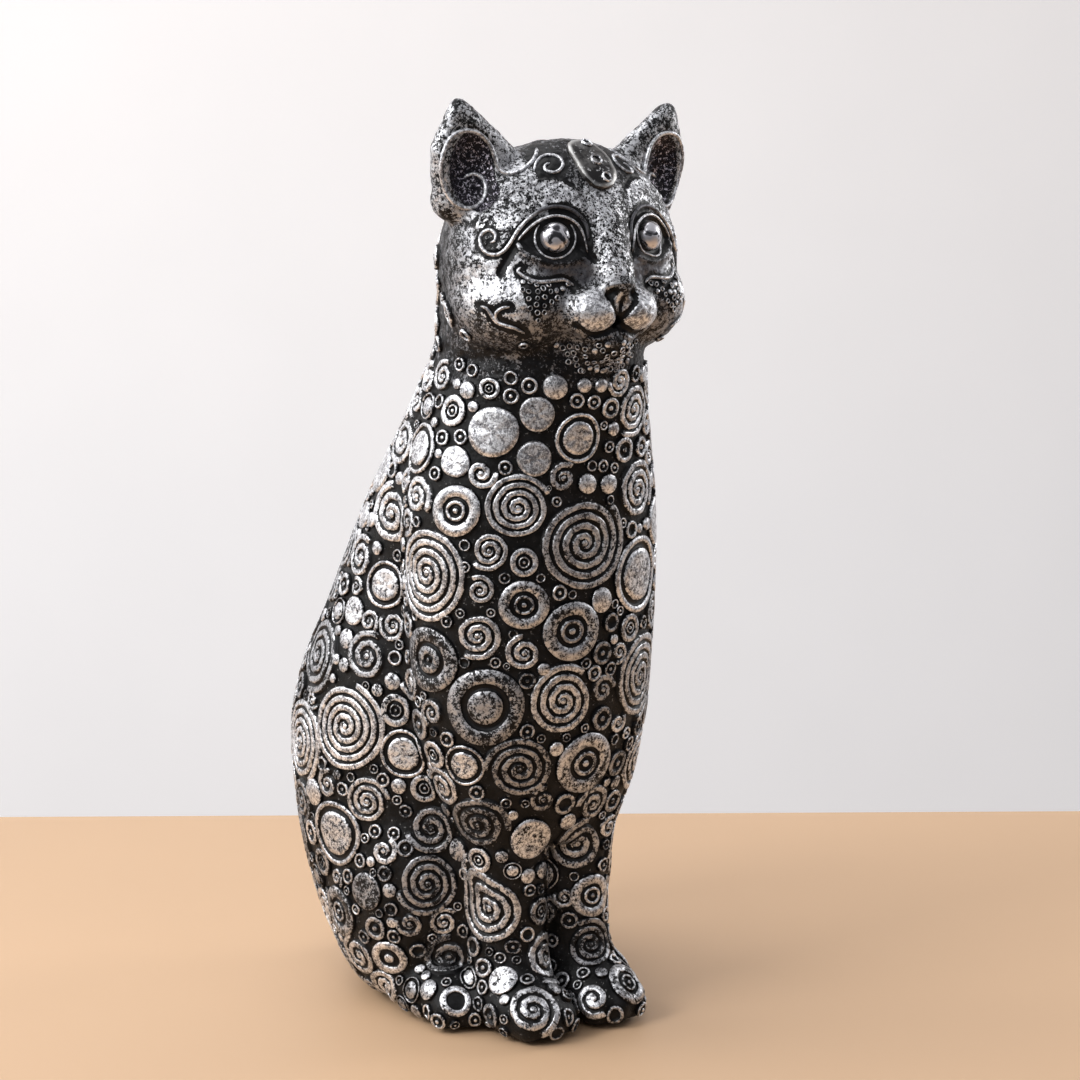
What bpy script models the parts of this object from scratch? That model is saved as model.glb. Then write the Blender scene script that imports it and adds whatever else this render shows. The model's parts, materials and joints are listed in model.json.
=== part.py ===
"""Seated cat figurine, slip-cast hollow in two shells.

The cat faces -Y and sits on the plane Z = 0, with its own left side towards +X. One smooth form is modelled
from masses, then parted at the neck: the body shell carries a neck spigot, and the head shell drops over it.
Domed eyes sit in sockets, a stopper closes the vent in the floor, and felt pads carry the weight.
Lengths in the tables are millimetres; MM turns them into Blender's metres.
"""

import math

import bmesh
import bpy
from mathutils import Matrix, Vector

MM = 0.001

# Driving dimensions
GAP = 0.4  # glue line between two pieces that touch
WALL = 7.0  # cast wall
FLOOR_THICK = 6.5
PAD_THICK = 1.2
FLOOR_Z = PAD_THICK + 0.3
NECK_Z = 212.0  # the parting plane between the two shells
SPIGOT_RISE = 8.0
SPIGOT_SINK = 9.0  # how far the spigot reaches down into the body's neck
SPIGOT_WALL = 3.0
VENT_RADIUS = 9.0
VENT_Y = 17.0
EYE_RADIUS = 5.0
EYE_DOME = 3.6
EYE_THICK = 2.6
PAD_RADIUS = 7.0
BIG = 400.0  # side of the boxes that trim at a plane

FORM_VOXEL = 2.0
FORM_SMOOTHING = 7
FORM_FACES_KEPT = 0.055
SET_BACK = -1.9  # moves the whole figure so that its bounding box is centred on the origin
CAVITY_VOXEL = 7.0
SIDES = 48  # facets round a round piece

# (z, centre y, half width, half depth) of the back and belly, from the ground to the neck
TORSO = (
    (0, 19, 31, 32),
    (9, 19, 37, 40),
    (18, 19, 41.5, 45),
    (31, 20, 46, 49.5),
    (48, 22, 49.5, 52.5),
    (65, 24, 51.5, 53),
    (84, 25, 52.5, 53.5),
    (99, 24, 51.8, 53.8),
    (116, 20, 49.5, 51),
    (133, 15, 45.5, 46),
    (152, 9.5, 42, 41),
    (174, -1, 39.5, 38),
    (193, -11.5, 36.5, 35),
    (211, -23, 34.5, 34),
    (228, -30, 32, 31),
)
# The chest and shoulders, from the elbows to the throat
CHEST = (
    (62, -25, 26, 17),
    (76, -24.5, 33, 23),
    (92, -24, 38.5, 28.5),
    (105, -24, 41, 31),
    (125, -24, 42.5, 33),
    (150, -24, 43.5, 34),
    (175, -24, 43, 34),
    (192, -25, 40, 33.5),
    (207, -28, 36, 32.5),
    (226, -32, 32, 31),
)
# One foreleg, on the +X side: (x, y, z, radius across, radius fore and aft, radius up)
FORELEG = (
    (21.5, -24, 108, 20, 23, 26),
    (19, -26, 84, 17, 19, 14),
    (14, -27, 66, 14, 15, 12),
    (12.5, -27.5, 45, 12.3, 13.5, 12),
    (12.8, -28, 24, 12.3, 13.5, 12),
    (14, -33, 10, 13, 15, 10),
)
FORE_PAW = (
    (14, -34, 10, 13, 14, 12),
    (14.5, -43, 8.5, 13.2, 12.5, 10.5),
)
HIND_PAW = (
    (29.5, -4, 10, 11, 15, 11),
    (28.5, -19, 8.5, 10.5, 10.5, 9.5),
)
# Toes lie side by side along the front of each paw
TOE_RADII = (5.2, 6.5, 6.5)
FORE_TOES = ((6.9, -50), (13.7, -52.5), (20.7, -50.5))
HIND_TOES = ((21.8, -25), (28.3, -27), (34.6, -24))
TOE_Z = 6.5
THIGH = ((31.5, 13, 46, 18.5, 31, 43),)
TAIL = (
    (3, 61, 11, 9, 9, 10),
    (20, 57, 9, 8.5, 8.5, 9),
    (35, 45, 8.5, 8, 8, 8.5),
    (41.5, 27, 8, 7.5, 7.5, 8),
    (41, 10, 7, 6, 6, 7),
)
# The head: front and back of the skull, nape, cheeks, nose, muzzle pads and chin
SKULL_FRONT = (0, -41.5, 251, 42, 26, 38.5)
SKULL_BACK = (0, -36, 251, 40, 28, 38)
NAPE = (
    (0, -32, 240, 36, 28, 22),
    (0, -29, 222, 33.5, 31, 16),
)
CHEEK = ((21, -44, 239, 20.5, 22, 17),)
NOSE = (
    (0, -59, 266, 9.5, 7, 8),
    (0, -68.5, 244.5, 6.5, 7, 5.5),
)
MUZZLE = ((7.8, -62.5, 236.5, 10.5, 12, 8.5),)
CHIN = ((0, -57.5, 227.5, 12.5, 13, 8),)
# One ear, on the +X side: a blade hulled round its rim, and the hollow scooped from its front
EAR = (
    (33, -38, 270, 9, 9, 9),
    (21, -42.5, 281, 5, 4.5, 5),
    (33, -43, 292.5, 3.5, 3.2, 3.5),
    (40.8, -43, 298.6, 3.2, 3.2, 3.2),
    (45.3, -40.5, 285, 4, 4, 5),
    (41.5, -37.5, 269, 4.5, 6, 5),
)
EAR_HOLLOW = (37.6, -48.0, 279.0)
EAR_HOLLOW_RADII = (8.4, 6.5, 12.3)
EAR_HOLLOW_TURN = 17.0
EYE_AT = (17.4, -61.0, 259.0)
EYE_TURN = 16.0  # degrees each eye looks out to its side
EYE_LIFT = 4.0  # degrees each eye looks up
PAD_SPOTS = {"front": (14.5, -40.0), "rear": (20.0, 34.0)}

BODY_COLOUR = (0.035, 0.033, 0.035)
SILVER_COLOUR = (0.55, 0.54, 0.54)
PLUG_COLOUR = (0.05, 0.05, 0.05)
FELT_COLOUR = (0.03, 0.03, 0.03)


def clear_scene():
    for obj in list(bpy.data.objects):
        bpy.data.objects.remove(obj, do_unlink=True)


def new_collection(name):
    collection = bpy.data.collections.new(name)
    bpy.context.scene.collection.children.link(collection)
    return collection


def material(name, colour, roughness, metallic):
    made = bpy.data.materials.new(name)
    made.use_nodes = True
    shader = made.node_tree.nodes["Principled BSDF"]
    shader.inputs["Base Color"].default_value = (*colour, 1.0)
    shader.inputs["Roughness"].default_value = roughness
    shader.inputs["Metallic"].default_value = metallic
    return made


def add_object(name, mesh, collection, finish=None):
    obj = bpy.data.objects.new(name, mesh)
    collection.objects.link(obj)
    if finish:
        mesh.materials.append(finish)
    return obj


def add_helper(name, mesh, collection):
    """A cutter or a guide, which the build leaves out."""
    obj = add_object(name, mesh, collection)
    obj.hide_render = True
    obj.display_type = "WIRE"
    return obj


def mesh_from(bm, name):
    bmesh.ops.recalc_face_normals(bm, faces=bm.faces)
    mesh = bpy.data.meshes.new(name)
    bm.to_mesh(mesh)
    bm.free()
    return mesh


def smooth_interpolation(rows, steps):
    """Catmull-Rom points through the rows of a table."""
    points = []
    for i in range(len(rows) - 1):
        before = rows[max(i - 1, 0)]
        after = rows[min(i + 2, len(rows) - 1)]
        for k in range(steps):
            t = k / steps
            points.append(
                tuple(
                    0.5 * (2 * b + (c - a) * t + (2 * a - 5 * b + 4 * c - d) * t * t
                           + (3 * b - a - 3 * c + d) * t ** 3)
                    for a, b, c, d in zip(before, rows[i], rows[i + 1], after)
                )
            )
    points.append(tuple(rows[-1]))
    return points


def loft(bm, rows, shrink=0.0, sides=SIDES, steps=4):
    """A closed skin through level ellipses, each shrunk by the same wall."""
    rings = []
    for z, y, half_width, half_depth in smooth_interpolation(rows, steps):
        ring = []
        for k in range(sides):
            turn = 2 * math.pi * k / sides
            x = (half_width - shrink) * math.cos(turn)
            ring.append(bm.verts.new(
                (x * MM, (y + (half_depth - shrink) * math.sin(turn)) * MM, z * MM)
            ))
        rings.append(ring)
    for low, high in zip(rings, rings[1:]):
        for k in range(sides):
            n = (k + 1) % sides
            bm.faces.new((low[k], low[n], high[n], high[k]))
    bm.faces.new(list(reversed(rings[0])))
    bm.faces.new(rings[-1])


def ellipsoid(bm, spec, side=1, shrink=0.0, segments=24):
    """Returns the vertices of one ellipsoid at (side * x, y, z)."""
    x, y, z, rx, ry, rz = spec
    place = Matrix.Translation(Vector((side * x, y, z)) * MM)
    size = Matrix.Diagonal((rx - shrink, ry - shrink, rz - shrink, 1))
    made = bmesh.ops.create_uvsphere(
        bm, u_segments=segments, v_segments=segments // 2, radius=MM, matrix=place @ size
    )
    return made["verts"]


def hulled(bm, beads, side=1):
    """A convex skin round several ellipsoids."""
    part = bmesh.new()
    for bead in beads:
        ellipsoid(part, bead, side)
    hull = bmesh.ops.convex_hull(part, input=part.verts)
    inside = [v for v in hull["geom_interior"] if isinstance(v, bmesh.types.BMVert)]
    bmesh.ops.delete(part, geom=inside, context="VERTS")
    piece = mesh_from(part, "hulled")
    bm.from_mesh(piece)
    bpy.data.meshes.remove(piece)


def limb(bm, beads, side=1):
    """Ellipsoids joined pair by pair with a convex skin; a single one stays as it is."""
    if len(beads) == 1:
        ellipsoid(bm, beads[0], side)
    for pair in zip(beads, beads[1:]):
        hulled(bm, pair, side)


def both_sides(bm, beads):
    for side in (-1, 1):
        limb(bm, beads, side)


def add_remesh(obj, voxel):
    modifier = obj.modifiers.new("merge", "REMESH")
    modifier.mode = "VOXEL"
    modifier.voxel_size = voxel * MM


def add_boolean(obj, operation, cutter):
    modifier = obj.modifiers.new(cutter.name, "BOOLEAN")
    modifier.operation = operation
    modifier.object = cutter


def evaluated_mesh(obj):
    graph = bpy.context.evaluated_depsgraph_get()
    return bpy.data.meshes.new_from_object(obj.evaluated_get(graph))


def cat_form(guides):
    """The whole outer form as one smooth mesh, before it is parted and hollowed."""
    bm = bmesh.new()
    loft(bm, TORSO)
    loft(bm, CHEST)
    for beads in (TAIL, NAPE, NOSE, CHIN, (SKULL_FRONT,), (SKULL_BACK,)):
        limb(bm, beads)
    for beads in (FORELEG, FORE_PAW, HIND_PAW, THIGH, CHEEK, MUZZLE):
        both_sides(bm, beads)
    for side in (-1, 1):
        hulled(bm, EAR, side)
        for x, y in FORE_TOES + HIND_TOES:
            ellipsoid(bm, (x, y, TOE_Z, *TOE_RADII), side)
    form = add_helper("form_guide", mesh_from(bm, "form_guide"), guides)
    add_remesh(form, FORM_VOXEL)
    blur = form.modifiers.new("blur", "SMOOTH")
    blur.factor = 0.5
    blur.iterations = FORM_SMOOTHING
    thin = form.modifiers.new("thin", "DECIMATE")
    thin.ratio = FORM_FACES_KEPT
    return evaluated_mesh(form)


def box_mesh(name, low_z, high_z):
    bm = bmesh.new()
    size = Matrix.Diagonal((BIG, BIG, high_z - low_z, 1))
    centre = Matrix.Translation(Vector((0, 0, (low_z + high_z) / 2)) * MM)
    bmesh.ops.create_cube(bm, size=MM, matrix=centre @ size)
    return mesh_from(bm, name)


def tube_mesh(name, low, high, widen, sides=SIDES):
    """A solid elliptic plug between two levels, following the neck and widened all round."""
    bm = bmesh.new()
    rows = [(z, NECK_Y, NECK_HALF_WIDTH + widen, NECK_HALF_DEPTH + widen) for z in (low, high)]
    loft(bm, rows, sides=sides, steps=1)
    return mesh_from(bm, name)


# The neck opening at the parting plane, inside the wall
NECK_Y = -28.0
NECK_HALF_WIDTH = 34.0 - WALL
NECK_HALF_DEPTH = 35.0 - WALL


def body_cavity(cutters):
    bm = bmesh.new()
    floor_top = FLOOR_Z + FLOOR_THICK
    inside_torso = [(max(z, floor_top + 2), *rest) for z, *rest in TORSO if z <= 205]
    loft(bm, inside_torso[1:], shrink=WALL)
    loft(bm, CHEST[2:-1], shrink=WALL)
    cavity = add_helper("body_cavity", mesh_from(bm, "body_cavity"), cutters)
    add_remesh(cavity, CAVITY_VOXEL)
    blur = cavity.modifiers.new("blur", "SMOOTH")
    blur.iterations = 2
    return cavity


def head_cavity(cutters):
    bm = bmesh.new()
    ellipsoid(bm, SKULL_FRONT, shrink=WALL)
    ellipsoid(bm, SKULL_BACK, shrink=WALL)
    cavity = add_helper("head_cavity", mesh_from(bm, "head_cavity"), cutters)
    add_remesh(cavity, CAVITY_VOXEL)
    return cavity


def upright_rod(name, radius, low, high, x, y, collection):
    bm = bmesh.new()
    place = Matrix.Translation(Vector((x, y, (low + high) / 2)) * MM)
    bmesh.ops.create_cone(
        bm, cap_ends=True, segments=SIDES, radius1=radius * MM, radius2=radius * MM,
        depth=(high - low) * MM, matrix=place,
    )
    return add_helper(name, mesh_from(bm, name), collection)


def build_body(form, parts, cutters, finish):
    body = add_object("body_shell", form.copy(), parts, finish)
    below = add_helper("below_floor", box_mesh("below_floor", -60, FLOOR_Z), cutters)
    above = add_helper("above_neck", box_mesh("above_neck", NECK_Z, BIG), cutters)
    neck_bore = tube_mesh("neck_bore", NECK_Z - 30, NECK_Z + 30, 0)
    floor_top = FLOOR_Z + FLOOR_THICK
    vent = upright_rod("vent_hole", VENT_RADIUS, -10, floor_top + 12, 0, VENT_Y, cutters)
    vent_seat = upright_rod("vent_seat", VENT_RADIUS + 6, floor_top, floor_top + 14, 0, VENT_Y, cutters)
    add_boolean(body, "DIFFERENCE", below)
    add_boolean(body, "DIFFERENCE", above)
    add_boolean(body, "DIFFERENCE", body_cavity(cutters))
    add_boolean(body, "DIFFERENCE", add_helper("neck_bore", neck_bore, cutters))
    spigot_low, spigot_high = NECK_Z - SPIGOT_SINK, NECK_Z + SPIGOT_RISE
    outer = tube_mesh("spigot", spigot_low, spigot_high, 1.0)
    inner = tube_mesh("spigot_bore", spigot_low - 5, spigot_high + 5, 1.0 - SPIGOT_WALL)
    add_boolean(body, "UNION", add_helper("spigot", outer, cutters))
    add_boolean(body, "DIFFERENCE", add_helper("spigot_bore", inner, cutters))
    add_boolean(body, "DIFFERENCE", vent_seat)
    add_boolean(body, "DIFFERENCE", vent)
    return body


def eye_matrix(side):
    """Local +Z of an eye points out of the head."""
    turn = Matrix.Rotation(math.radians(side * EYE_TURN), 4, "Z")
    face = Matrix.Rotation(math.radians(90 - EYE_LIFT), 4, "X")
    x, y, z = EYE_AT
    return Matrix.Translation(Vector((side * x, y, z)) * MM) @ turn @ face


def eye_outline(radius, deep, dome, steps=6):
    """Half section of a cabochon, from the top of its dome to the middle of its flat back."""
    profile = []
    for k in range(steps + 1):
        rise = math.pi / 2 * (1 - k / steps)
        profile.append((radius * math.cos(rise), dome * math.sin(rise)))
    profile[0] = (0.0, dome)
    profile.append((radius, -deep))
    profile.append((0.0, -deep))
    return profile


def turned_mesh(name, outline, steps=SIDES):
    """A solid of revolution about local Z from a half section that starts and ends on the axis."""
    bm = bmesh.new()
    points = [bm.verts.new((r * MM, 0, z * MM)) for r, z in outline]
    for a, b in zip(points, points[1:]):
        bm.edges.new((a, b))
    mesh = bpy.data.meshes.new(name)
    bm.to_mesh(mesh)
    bm.free()
    return mesh


def add_screw(obj, steps=SIDES):
    spin = obj.modifiers.new("turn", "SCREW")
    spin.axis = "Z"
    spin.steps = steps
    spin.render_steps = steps
    spin.use_merge_vertices = True
    spin.merge_threshold = 0.00001


def build_eye(name, side, parts, finish):
    outline = eye_outline(EYE_RADIUS, EYE_THICK, EYE_DOME)
    eye = add_object(name, turned_mesh(name, outline), parts, finish)
    add_screw(eye, 28)
    eye.matrix_world = eye_matrix(side)
    return eye


def eye_socket(side, cutters):
    """A round pocket a glue line larger than the eye, open to the front."""
    bm = bmesh.new()
    back, front = -(EYE_THICK + GAP), 14.0
    place = eye_matrix(side) @ Matrix.Translation(Vector((0, 0, (back + front) / 2)) * MM)
    radius = (EYE_RADIUS + GAP) * MM
    bmesh.ops.create_cone(
        bm, cap_ends=True, segments=32, radius1=radius, radius2=radius,
        depth=(front - back) * MM, matrix=place,
    )
    label = "left" if side > 0 else "right"
    return add_helper(f"socket_{label}", mesh_from(bm, f"socket_{label}"), cutters)


def ear_scoop(side, cutters):
    bm = bmesh.new()
    x, y, z = EAR_HOLLOW
    place = Matrix.Translation(Vector((side * x, y, z)) * MM)
    tilt = Matrix.Rotation(math.radians(side * EAR_HOLLOW_TURN), 4, "Z")
    size = Matrix.Diagonal((*EAR_HOLLOW_RADII, 1))
    bmesh.ops.create_uvsphere(
        bm, u_segments=24, v_segments=16, radius=MM, matrix=place @ tilt @ size
    )
    label = "left" if side > 0 else "right"
    return add_helper(f"ear_scoop_{label}", mesh_from(bm, f"ear_scoop_{label}"), cutters)


def build_head(form, parts, cutters, finish):
    head = add_object("head_shell", form.copy(), parts, finish)
    below = add_helper("below_neck", box_mesh("below_neck", -60, NECK_Z + GAP), cutters)
    socket = tube_mesh("neck_socket", NECK_Z - 20, NECK_Z + SPIGOT_RISE + 1.0, 1.0 + GAP)
    bore = tube_mesh("head_bore", NECK_Z - 25, NECK_Z + 13, 1.0 - SPIGOT_WALL)
    add_boolean(head, "DIFFERENCE", below)
    add_boolean(head, "DIFFERENCE", add_helper("neck_socket", socket, cutters))
    add_boolean(head, "DIFFERENCE", add_helper("head_bore", bore, cutters))
    add_boolean(head, "DIFFERENCE", head_cavity(cutters))
    for side in (-1, 1):
        add_boolean(head, "DIFFERENCE", ear_scoop(side, cutters))
        add_boolean(head, "DIFFERENCE", eye_socket(side, cutters))
    return head


def build_plug(parts, finish):
    """Soft stopper: a flange under the floor, a stem through the vent and a lip that snaps above it."""
    floor_top = FLOOR_Z + FLOOR_THICK
    stem = VENT_RADIUS - GAP
    outline = (
        (0.0, floor_top + 3.6),
        (stem - 2.0, floor_top + 3.6),
        (stem + 1.4, floor_top + 1.6),
        (stem + 1.4, floor_top + 0.5),
        (stem, floor_top + 0.4),
        (stem, FLOOR_Z - 0.1),
        (stem + 3.0, FLOOR_Z - 0.3),
        (stem + 2.6, FLOOR_Z - 1.1),
        (0.0, FLOOR_Z - 1.1),
    )
    plug = add_object("vent_plug", turned_mesh("vent_plug", outline), parts, finish)
    add_screw(plug, 40)
    plug.location = (0, VENT_Y * MM, 0)
    return plug


def build_pad(name, x, y, parts, finish):
    bm = bmesh.new()
    bmesh.ops.create_cone(
        bm, cap_ends=True, segments=32, radius1=PAD_RADIUS * MM, radius2=PAD_RADIUS * MM,
        depth=PAD_THICK * MM,
    )
    pad = add_object(name, mesh_from(bm, name), parts, finish)
    pad.location = Vector((x, y, PAD_THICK / 2)) * MM
    return pad


def build():
    clear_scene()
    parts = new_collection("cat_figurine")
    cutters = new_collection("cutters")
    ceramic = material("black_patina", BODY_COLOUR, 0.45, 0.2)
    silver = material("silver_dome", SILVER_COLOUR, 0.2, 0.9)
    rubber = material("rubber", PLUG_COLOUR, 0.7, 0.0)
    felt = material("felt", FELT_COLOUR, 0.95, 0.0)
    form = cat_form(cutters)
    build_body(form, parts, cutters, ceramic)
    build_head(form, parts, cutters, ceramic)
    build_eye("eye_left", 1, parts, silver)
    build_eye("eye_right", -1, parts, silver)
    build_plug(parts, rubber)
    for row, (x, y) in PAD_SPOTS.items():
        build_pad(f"felt_pad_{row}_left", x, y, parts, felt)
        build_pad(f"felt_pad_{row}_right", -x, y, parts, felt)
    for obj in bpy.data.objects:
        obj.location.y += SET_BACK * MM


build()
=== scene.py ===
"""The looks of the seated cat figurine: two cast shells in silver dry-brushed over black.

The body is covered with raised spirals, rings and discs, each a closed button bedded in the body's skin. The
head is bright silver with wire scrolls, lids, pitted brows and small rings. Tables and working arrays are in
millimetres; MM turns them into Blender's metres. The cat faces -Y and its own left side is +X.
"""

import json
import math

import bmesh
import bpy
import numpy as np
from mathutils import Matrix, Vector
from mathutils.bvhtree import BVHTree

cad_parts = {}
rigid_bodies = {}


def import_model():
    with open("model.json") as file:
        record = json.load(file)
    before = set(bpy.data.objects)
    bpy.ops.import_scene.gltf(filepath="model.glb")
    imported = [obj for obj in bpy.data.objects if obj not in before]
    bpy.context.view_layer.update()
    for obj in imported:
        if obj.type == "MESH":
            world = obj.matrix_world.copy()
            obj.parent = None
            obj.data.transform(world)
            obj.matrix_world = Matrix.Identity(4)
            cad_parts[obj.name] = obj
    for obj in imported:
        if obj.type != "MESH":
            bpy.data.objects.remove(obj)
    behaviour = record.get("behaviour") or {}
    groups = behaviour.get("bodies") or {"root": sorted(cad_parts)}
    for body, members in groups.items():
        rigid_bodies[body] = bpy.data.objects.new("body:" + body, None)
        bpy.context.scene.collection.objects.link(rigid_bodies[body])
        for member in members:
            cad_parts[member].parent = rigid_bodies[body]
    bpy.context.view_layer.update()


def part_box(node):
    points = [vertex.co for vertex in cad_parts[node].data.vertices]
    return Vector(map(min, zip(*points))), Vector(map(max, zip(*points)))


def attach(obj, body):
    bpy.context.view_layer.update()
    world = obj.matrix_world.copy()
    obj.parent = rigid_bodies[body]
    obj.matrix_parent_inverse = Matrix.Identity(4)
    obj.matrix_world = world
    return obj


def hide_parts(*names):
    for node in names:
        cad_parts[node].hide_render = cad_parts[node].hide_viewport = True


for leftover in list(bpy.data.objects):
    bpy.data.objects.remove(leftover, do_unlink=True)
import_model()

MM = 0.001
SEED = 11
TURN = 2 * math.pi
FAR = 1e3  # further than anything on the figure
UP = np.array([0.0, 0.0, 1.0])

# Levels that come from the frame
NECK_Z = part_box("head_shell")[0].z / MM
FLOOR_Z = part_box("body_shell")[0].z / MM
SET_BACK = -1.9  # the masses below are drawn this much further back than the frame's origin

# The main viewpoint, from which the visible side's ornament is laid out
VIEW_AZIMUTH = math.radians(-35.0)
VIEW_DISTANCE = 850.0
VIEW_HEIGHT = 280.0
AIM_RIGHT = 18.5
AIM_HEIGHT = 156.5
LENS = 85.3

# Skins
BODY_VOXEL = 1.5
HEAD_VOXEL = 0.6
BLUR = 5.3  # width over which the joins between masses are smoothed
LOFT_SIDES = 64

# Discs
MARCH = 1.1  # step along the skin when a disc is laid out
COLUMN_WIDTH = 1.05  # space between the columns of points at a disc's rim
COLUMNS = (12, 72)  # fewest and most of them
TINY_RADIUS = 1.3  # discs up to this radius have TINY_COLUMNS
TINY_COLUMNS = 10
WOBBLE = (0.022, 0.012)  # how unround a disc is, with two and with three bulges
RIDGE = 1.25  # height of a disc's ridges above the skin
GROOVE = 0.3  # height of its grooves above the skin
BED = 0.6  # how deep a disc is bedded in the skin
EDGE = 0.42  # width of the rounded edges
EXTRA_TURN = 0.5  # the start of each spiral, too tight to count
RIDGE_SHARE = 0.79  # share of a spiral's pitch taken by the ridge
BED_MARGIN = -0.35  # the skin outside a spiral's last turn, where the disc dips out of sight

# Where the discs go
SPREAD = 1.07  # the laid out discs are opened up by this much, so that they crowd each other
LEAST_CROWDED = {"large": 0.97, "small": 0.8}  # the share of its radius that a crowded disc keeps
BEND = math.radians(50)  # a disc keeps clear of skin that faces this much away from its own
COLLAR_TOP = NECK_Z + 5.5  # the body's discs stop here, a little above the joint they hide
NAPE_TOP = NECK_Z + 50  # the head's discs run up the back of the neck to here
NAPE_FALL = 11.0  # their top edge arches down by this much towards the sides
NAPE_SPAN = math.radians(64)  # to each side of straight back
NAPE_RADIUS = 30.0
BODY_TRIES = 36000
NAPE_TRIES = 16000

# (z, centre y, half width, half depth)
TORSO = (
    (0, 19, 31, 32), (9, 19, 37, 40), (18, 19, 41.5, 45), (31, 20, 46, 49.5), (48, 22, 49.5, 52.5),
    (65, 24, 51.5, 53), (84, 25, 52.5, 53.5), (99, 24, 51.8, 53.8), (116, 20, 49.5, 51),
    (133, 15, 45.5, 46), (152, 9.5, 42, 41), (174, -1, 39.5, 38), (193, -11.5, 36.5, 35),
    (211, -23, 34.5, 34), (228, -30, 32, 31),
)
CHEST = (
    (62, -25, 26, 17), (76, -24.5, 33, 23), (92, -24, 38.5, 28.5), (105, -24, 41, 31), (125, -24, 42.5, 33),
    (150, -24, 43.5, 34), (175, -24, 43, 34), (192, -25, 40, 33.5), (207, -28, 36, 32.5),
    (226, -32, 32, 31),
)
# Ellipsoids (x, y, z, radius across, radius fore and aft, radius up); limbs are joined pair by pair
FORELEG = (
    (21.5, -24, 108, 20, 23, 26), (19, -26, 84, 17, 19, 14), (14, -27, 66, 14, 15, 12),
    (12.5, -27.5, 45, 12.3, 13.5, 12), (12.8, -28, 24, 12.3, 13.5, 12), (14, -33, 10, 13, 15, 10),
)
FORE_PAW = ((14, -34, 10, 13, 14, 12), (14.5, -43, 8.5, 13.2, 12.5, 10.5))
HIND_PAW = ((29.5, -4, 10, 11, 15, 11), (28.5, -19, 8.5, 10.5, 10.5, 9.5))
TOE_RADII = (5.2, 6.5, 6.5)
TOES = ((6.9, -50), (13.7, -52.5), (20.7, -50.5), (21.8, -25), (28.3, -27), (34.6, -24))
TOE_Z = 6.5
THIGH = ((31.5, 13, 46, 18.5, 31, 43),)
TAIL = (
    (3, 61, 11, 9, 9, 10), (20, 57, 9, 8.5, 8.5, 9), (35, 45, 8.5, 8, 8, 8.5), (41.5, 27, 8, 7.5, 7.5, 8),
    (41, 10, 7, 6, 6, 7),
)
SKULL = ((0, -41.5, 251, 42, 26, 38.5), (0, -36, 251, 40, 28, 38))
NAPE = ((0, -32, 240, 36, 28, 22), (0, -29, 222, 33.5, 31, 16))
CHEEK = ((21, -44, 239, 20.5, 22, 17),)
NOSE = ((0, -59, 266, 9.5, 7, 8), (0, -68.5, 244.5, 6.5, 7, 5.5))
MUZZLE = ((7.8, -62.5, 236.5, 10.5, 12, 8.5),)
CHIN = ((0, -57.5, 227.5, 12.5, 13, 8),)
EAR = (
    (33, -38, 270, 9, 9, 9), (21, -42.5, 281, 5, 4.5, 5), (33, -43, 292.5, 3.5, 3.2, 3.5),
    (40.8, -43, 298.6, 3.2, 3.2, 3.2), (45.3, -40.5, 285, 4, 4, 5), (41.5, -37.5, 269, 4.5, 6, 5),
)
EAR_HOLLOW = (37.6, -48.0, 279.0)
EAR_HOLLOW_RADII = (8.4, 6.5, 12.3)
EAR_HOLLOW_TURN = math.radians(17.0)

# Eyes
EYE_TURN = 16.0  # degrees outwards
EYE_LIFT = 4.0  # degrees upwards
EYE_RADIUS = 4.7
EYE_RING_RADIUS = 6.3
EYE_SHIFT = (-0.5, 0.1)  # the dome's middle, measured on the cheek
EYE_DOME = 3.2
EYE_PROUD = 0.2  # the dome's foot above the floor of its recess
EYE_FRONT = 0.7  # the face's lines are measured from a point this far in front of the eye solid's middle

# Ridge bands of a disc, as shares of its radius
BANDS = {
    "plain": ((0.0, 1.0),),
    "plate": ((0.0, 1.0),),
    "rimmed": ((0.0, 0.68), (0.80, 1.0)),
    "target": ((0.0, 0.13), (0.24, 0.42), (0.52, 1.0)),
    "moon": ((0.0, 0.46), (0.59, 1.0)),
    "iris": ((0.0, 0.08), (0.15, 0.44), (0.54, 1.0)),
    "double": ((0.0, 0.10), (0.17, 0.34), (0.42, 0.62), (0.70, 1.0)),
    "ring": ((0.0, 0.28), (0.52, 1.0)),
    "loop": ((0.52, 1.0),),
}

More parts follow.
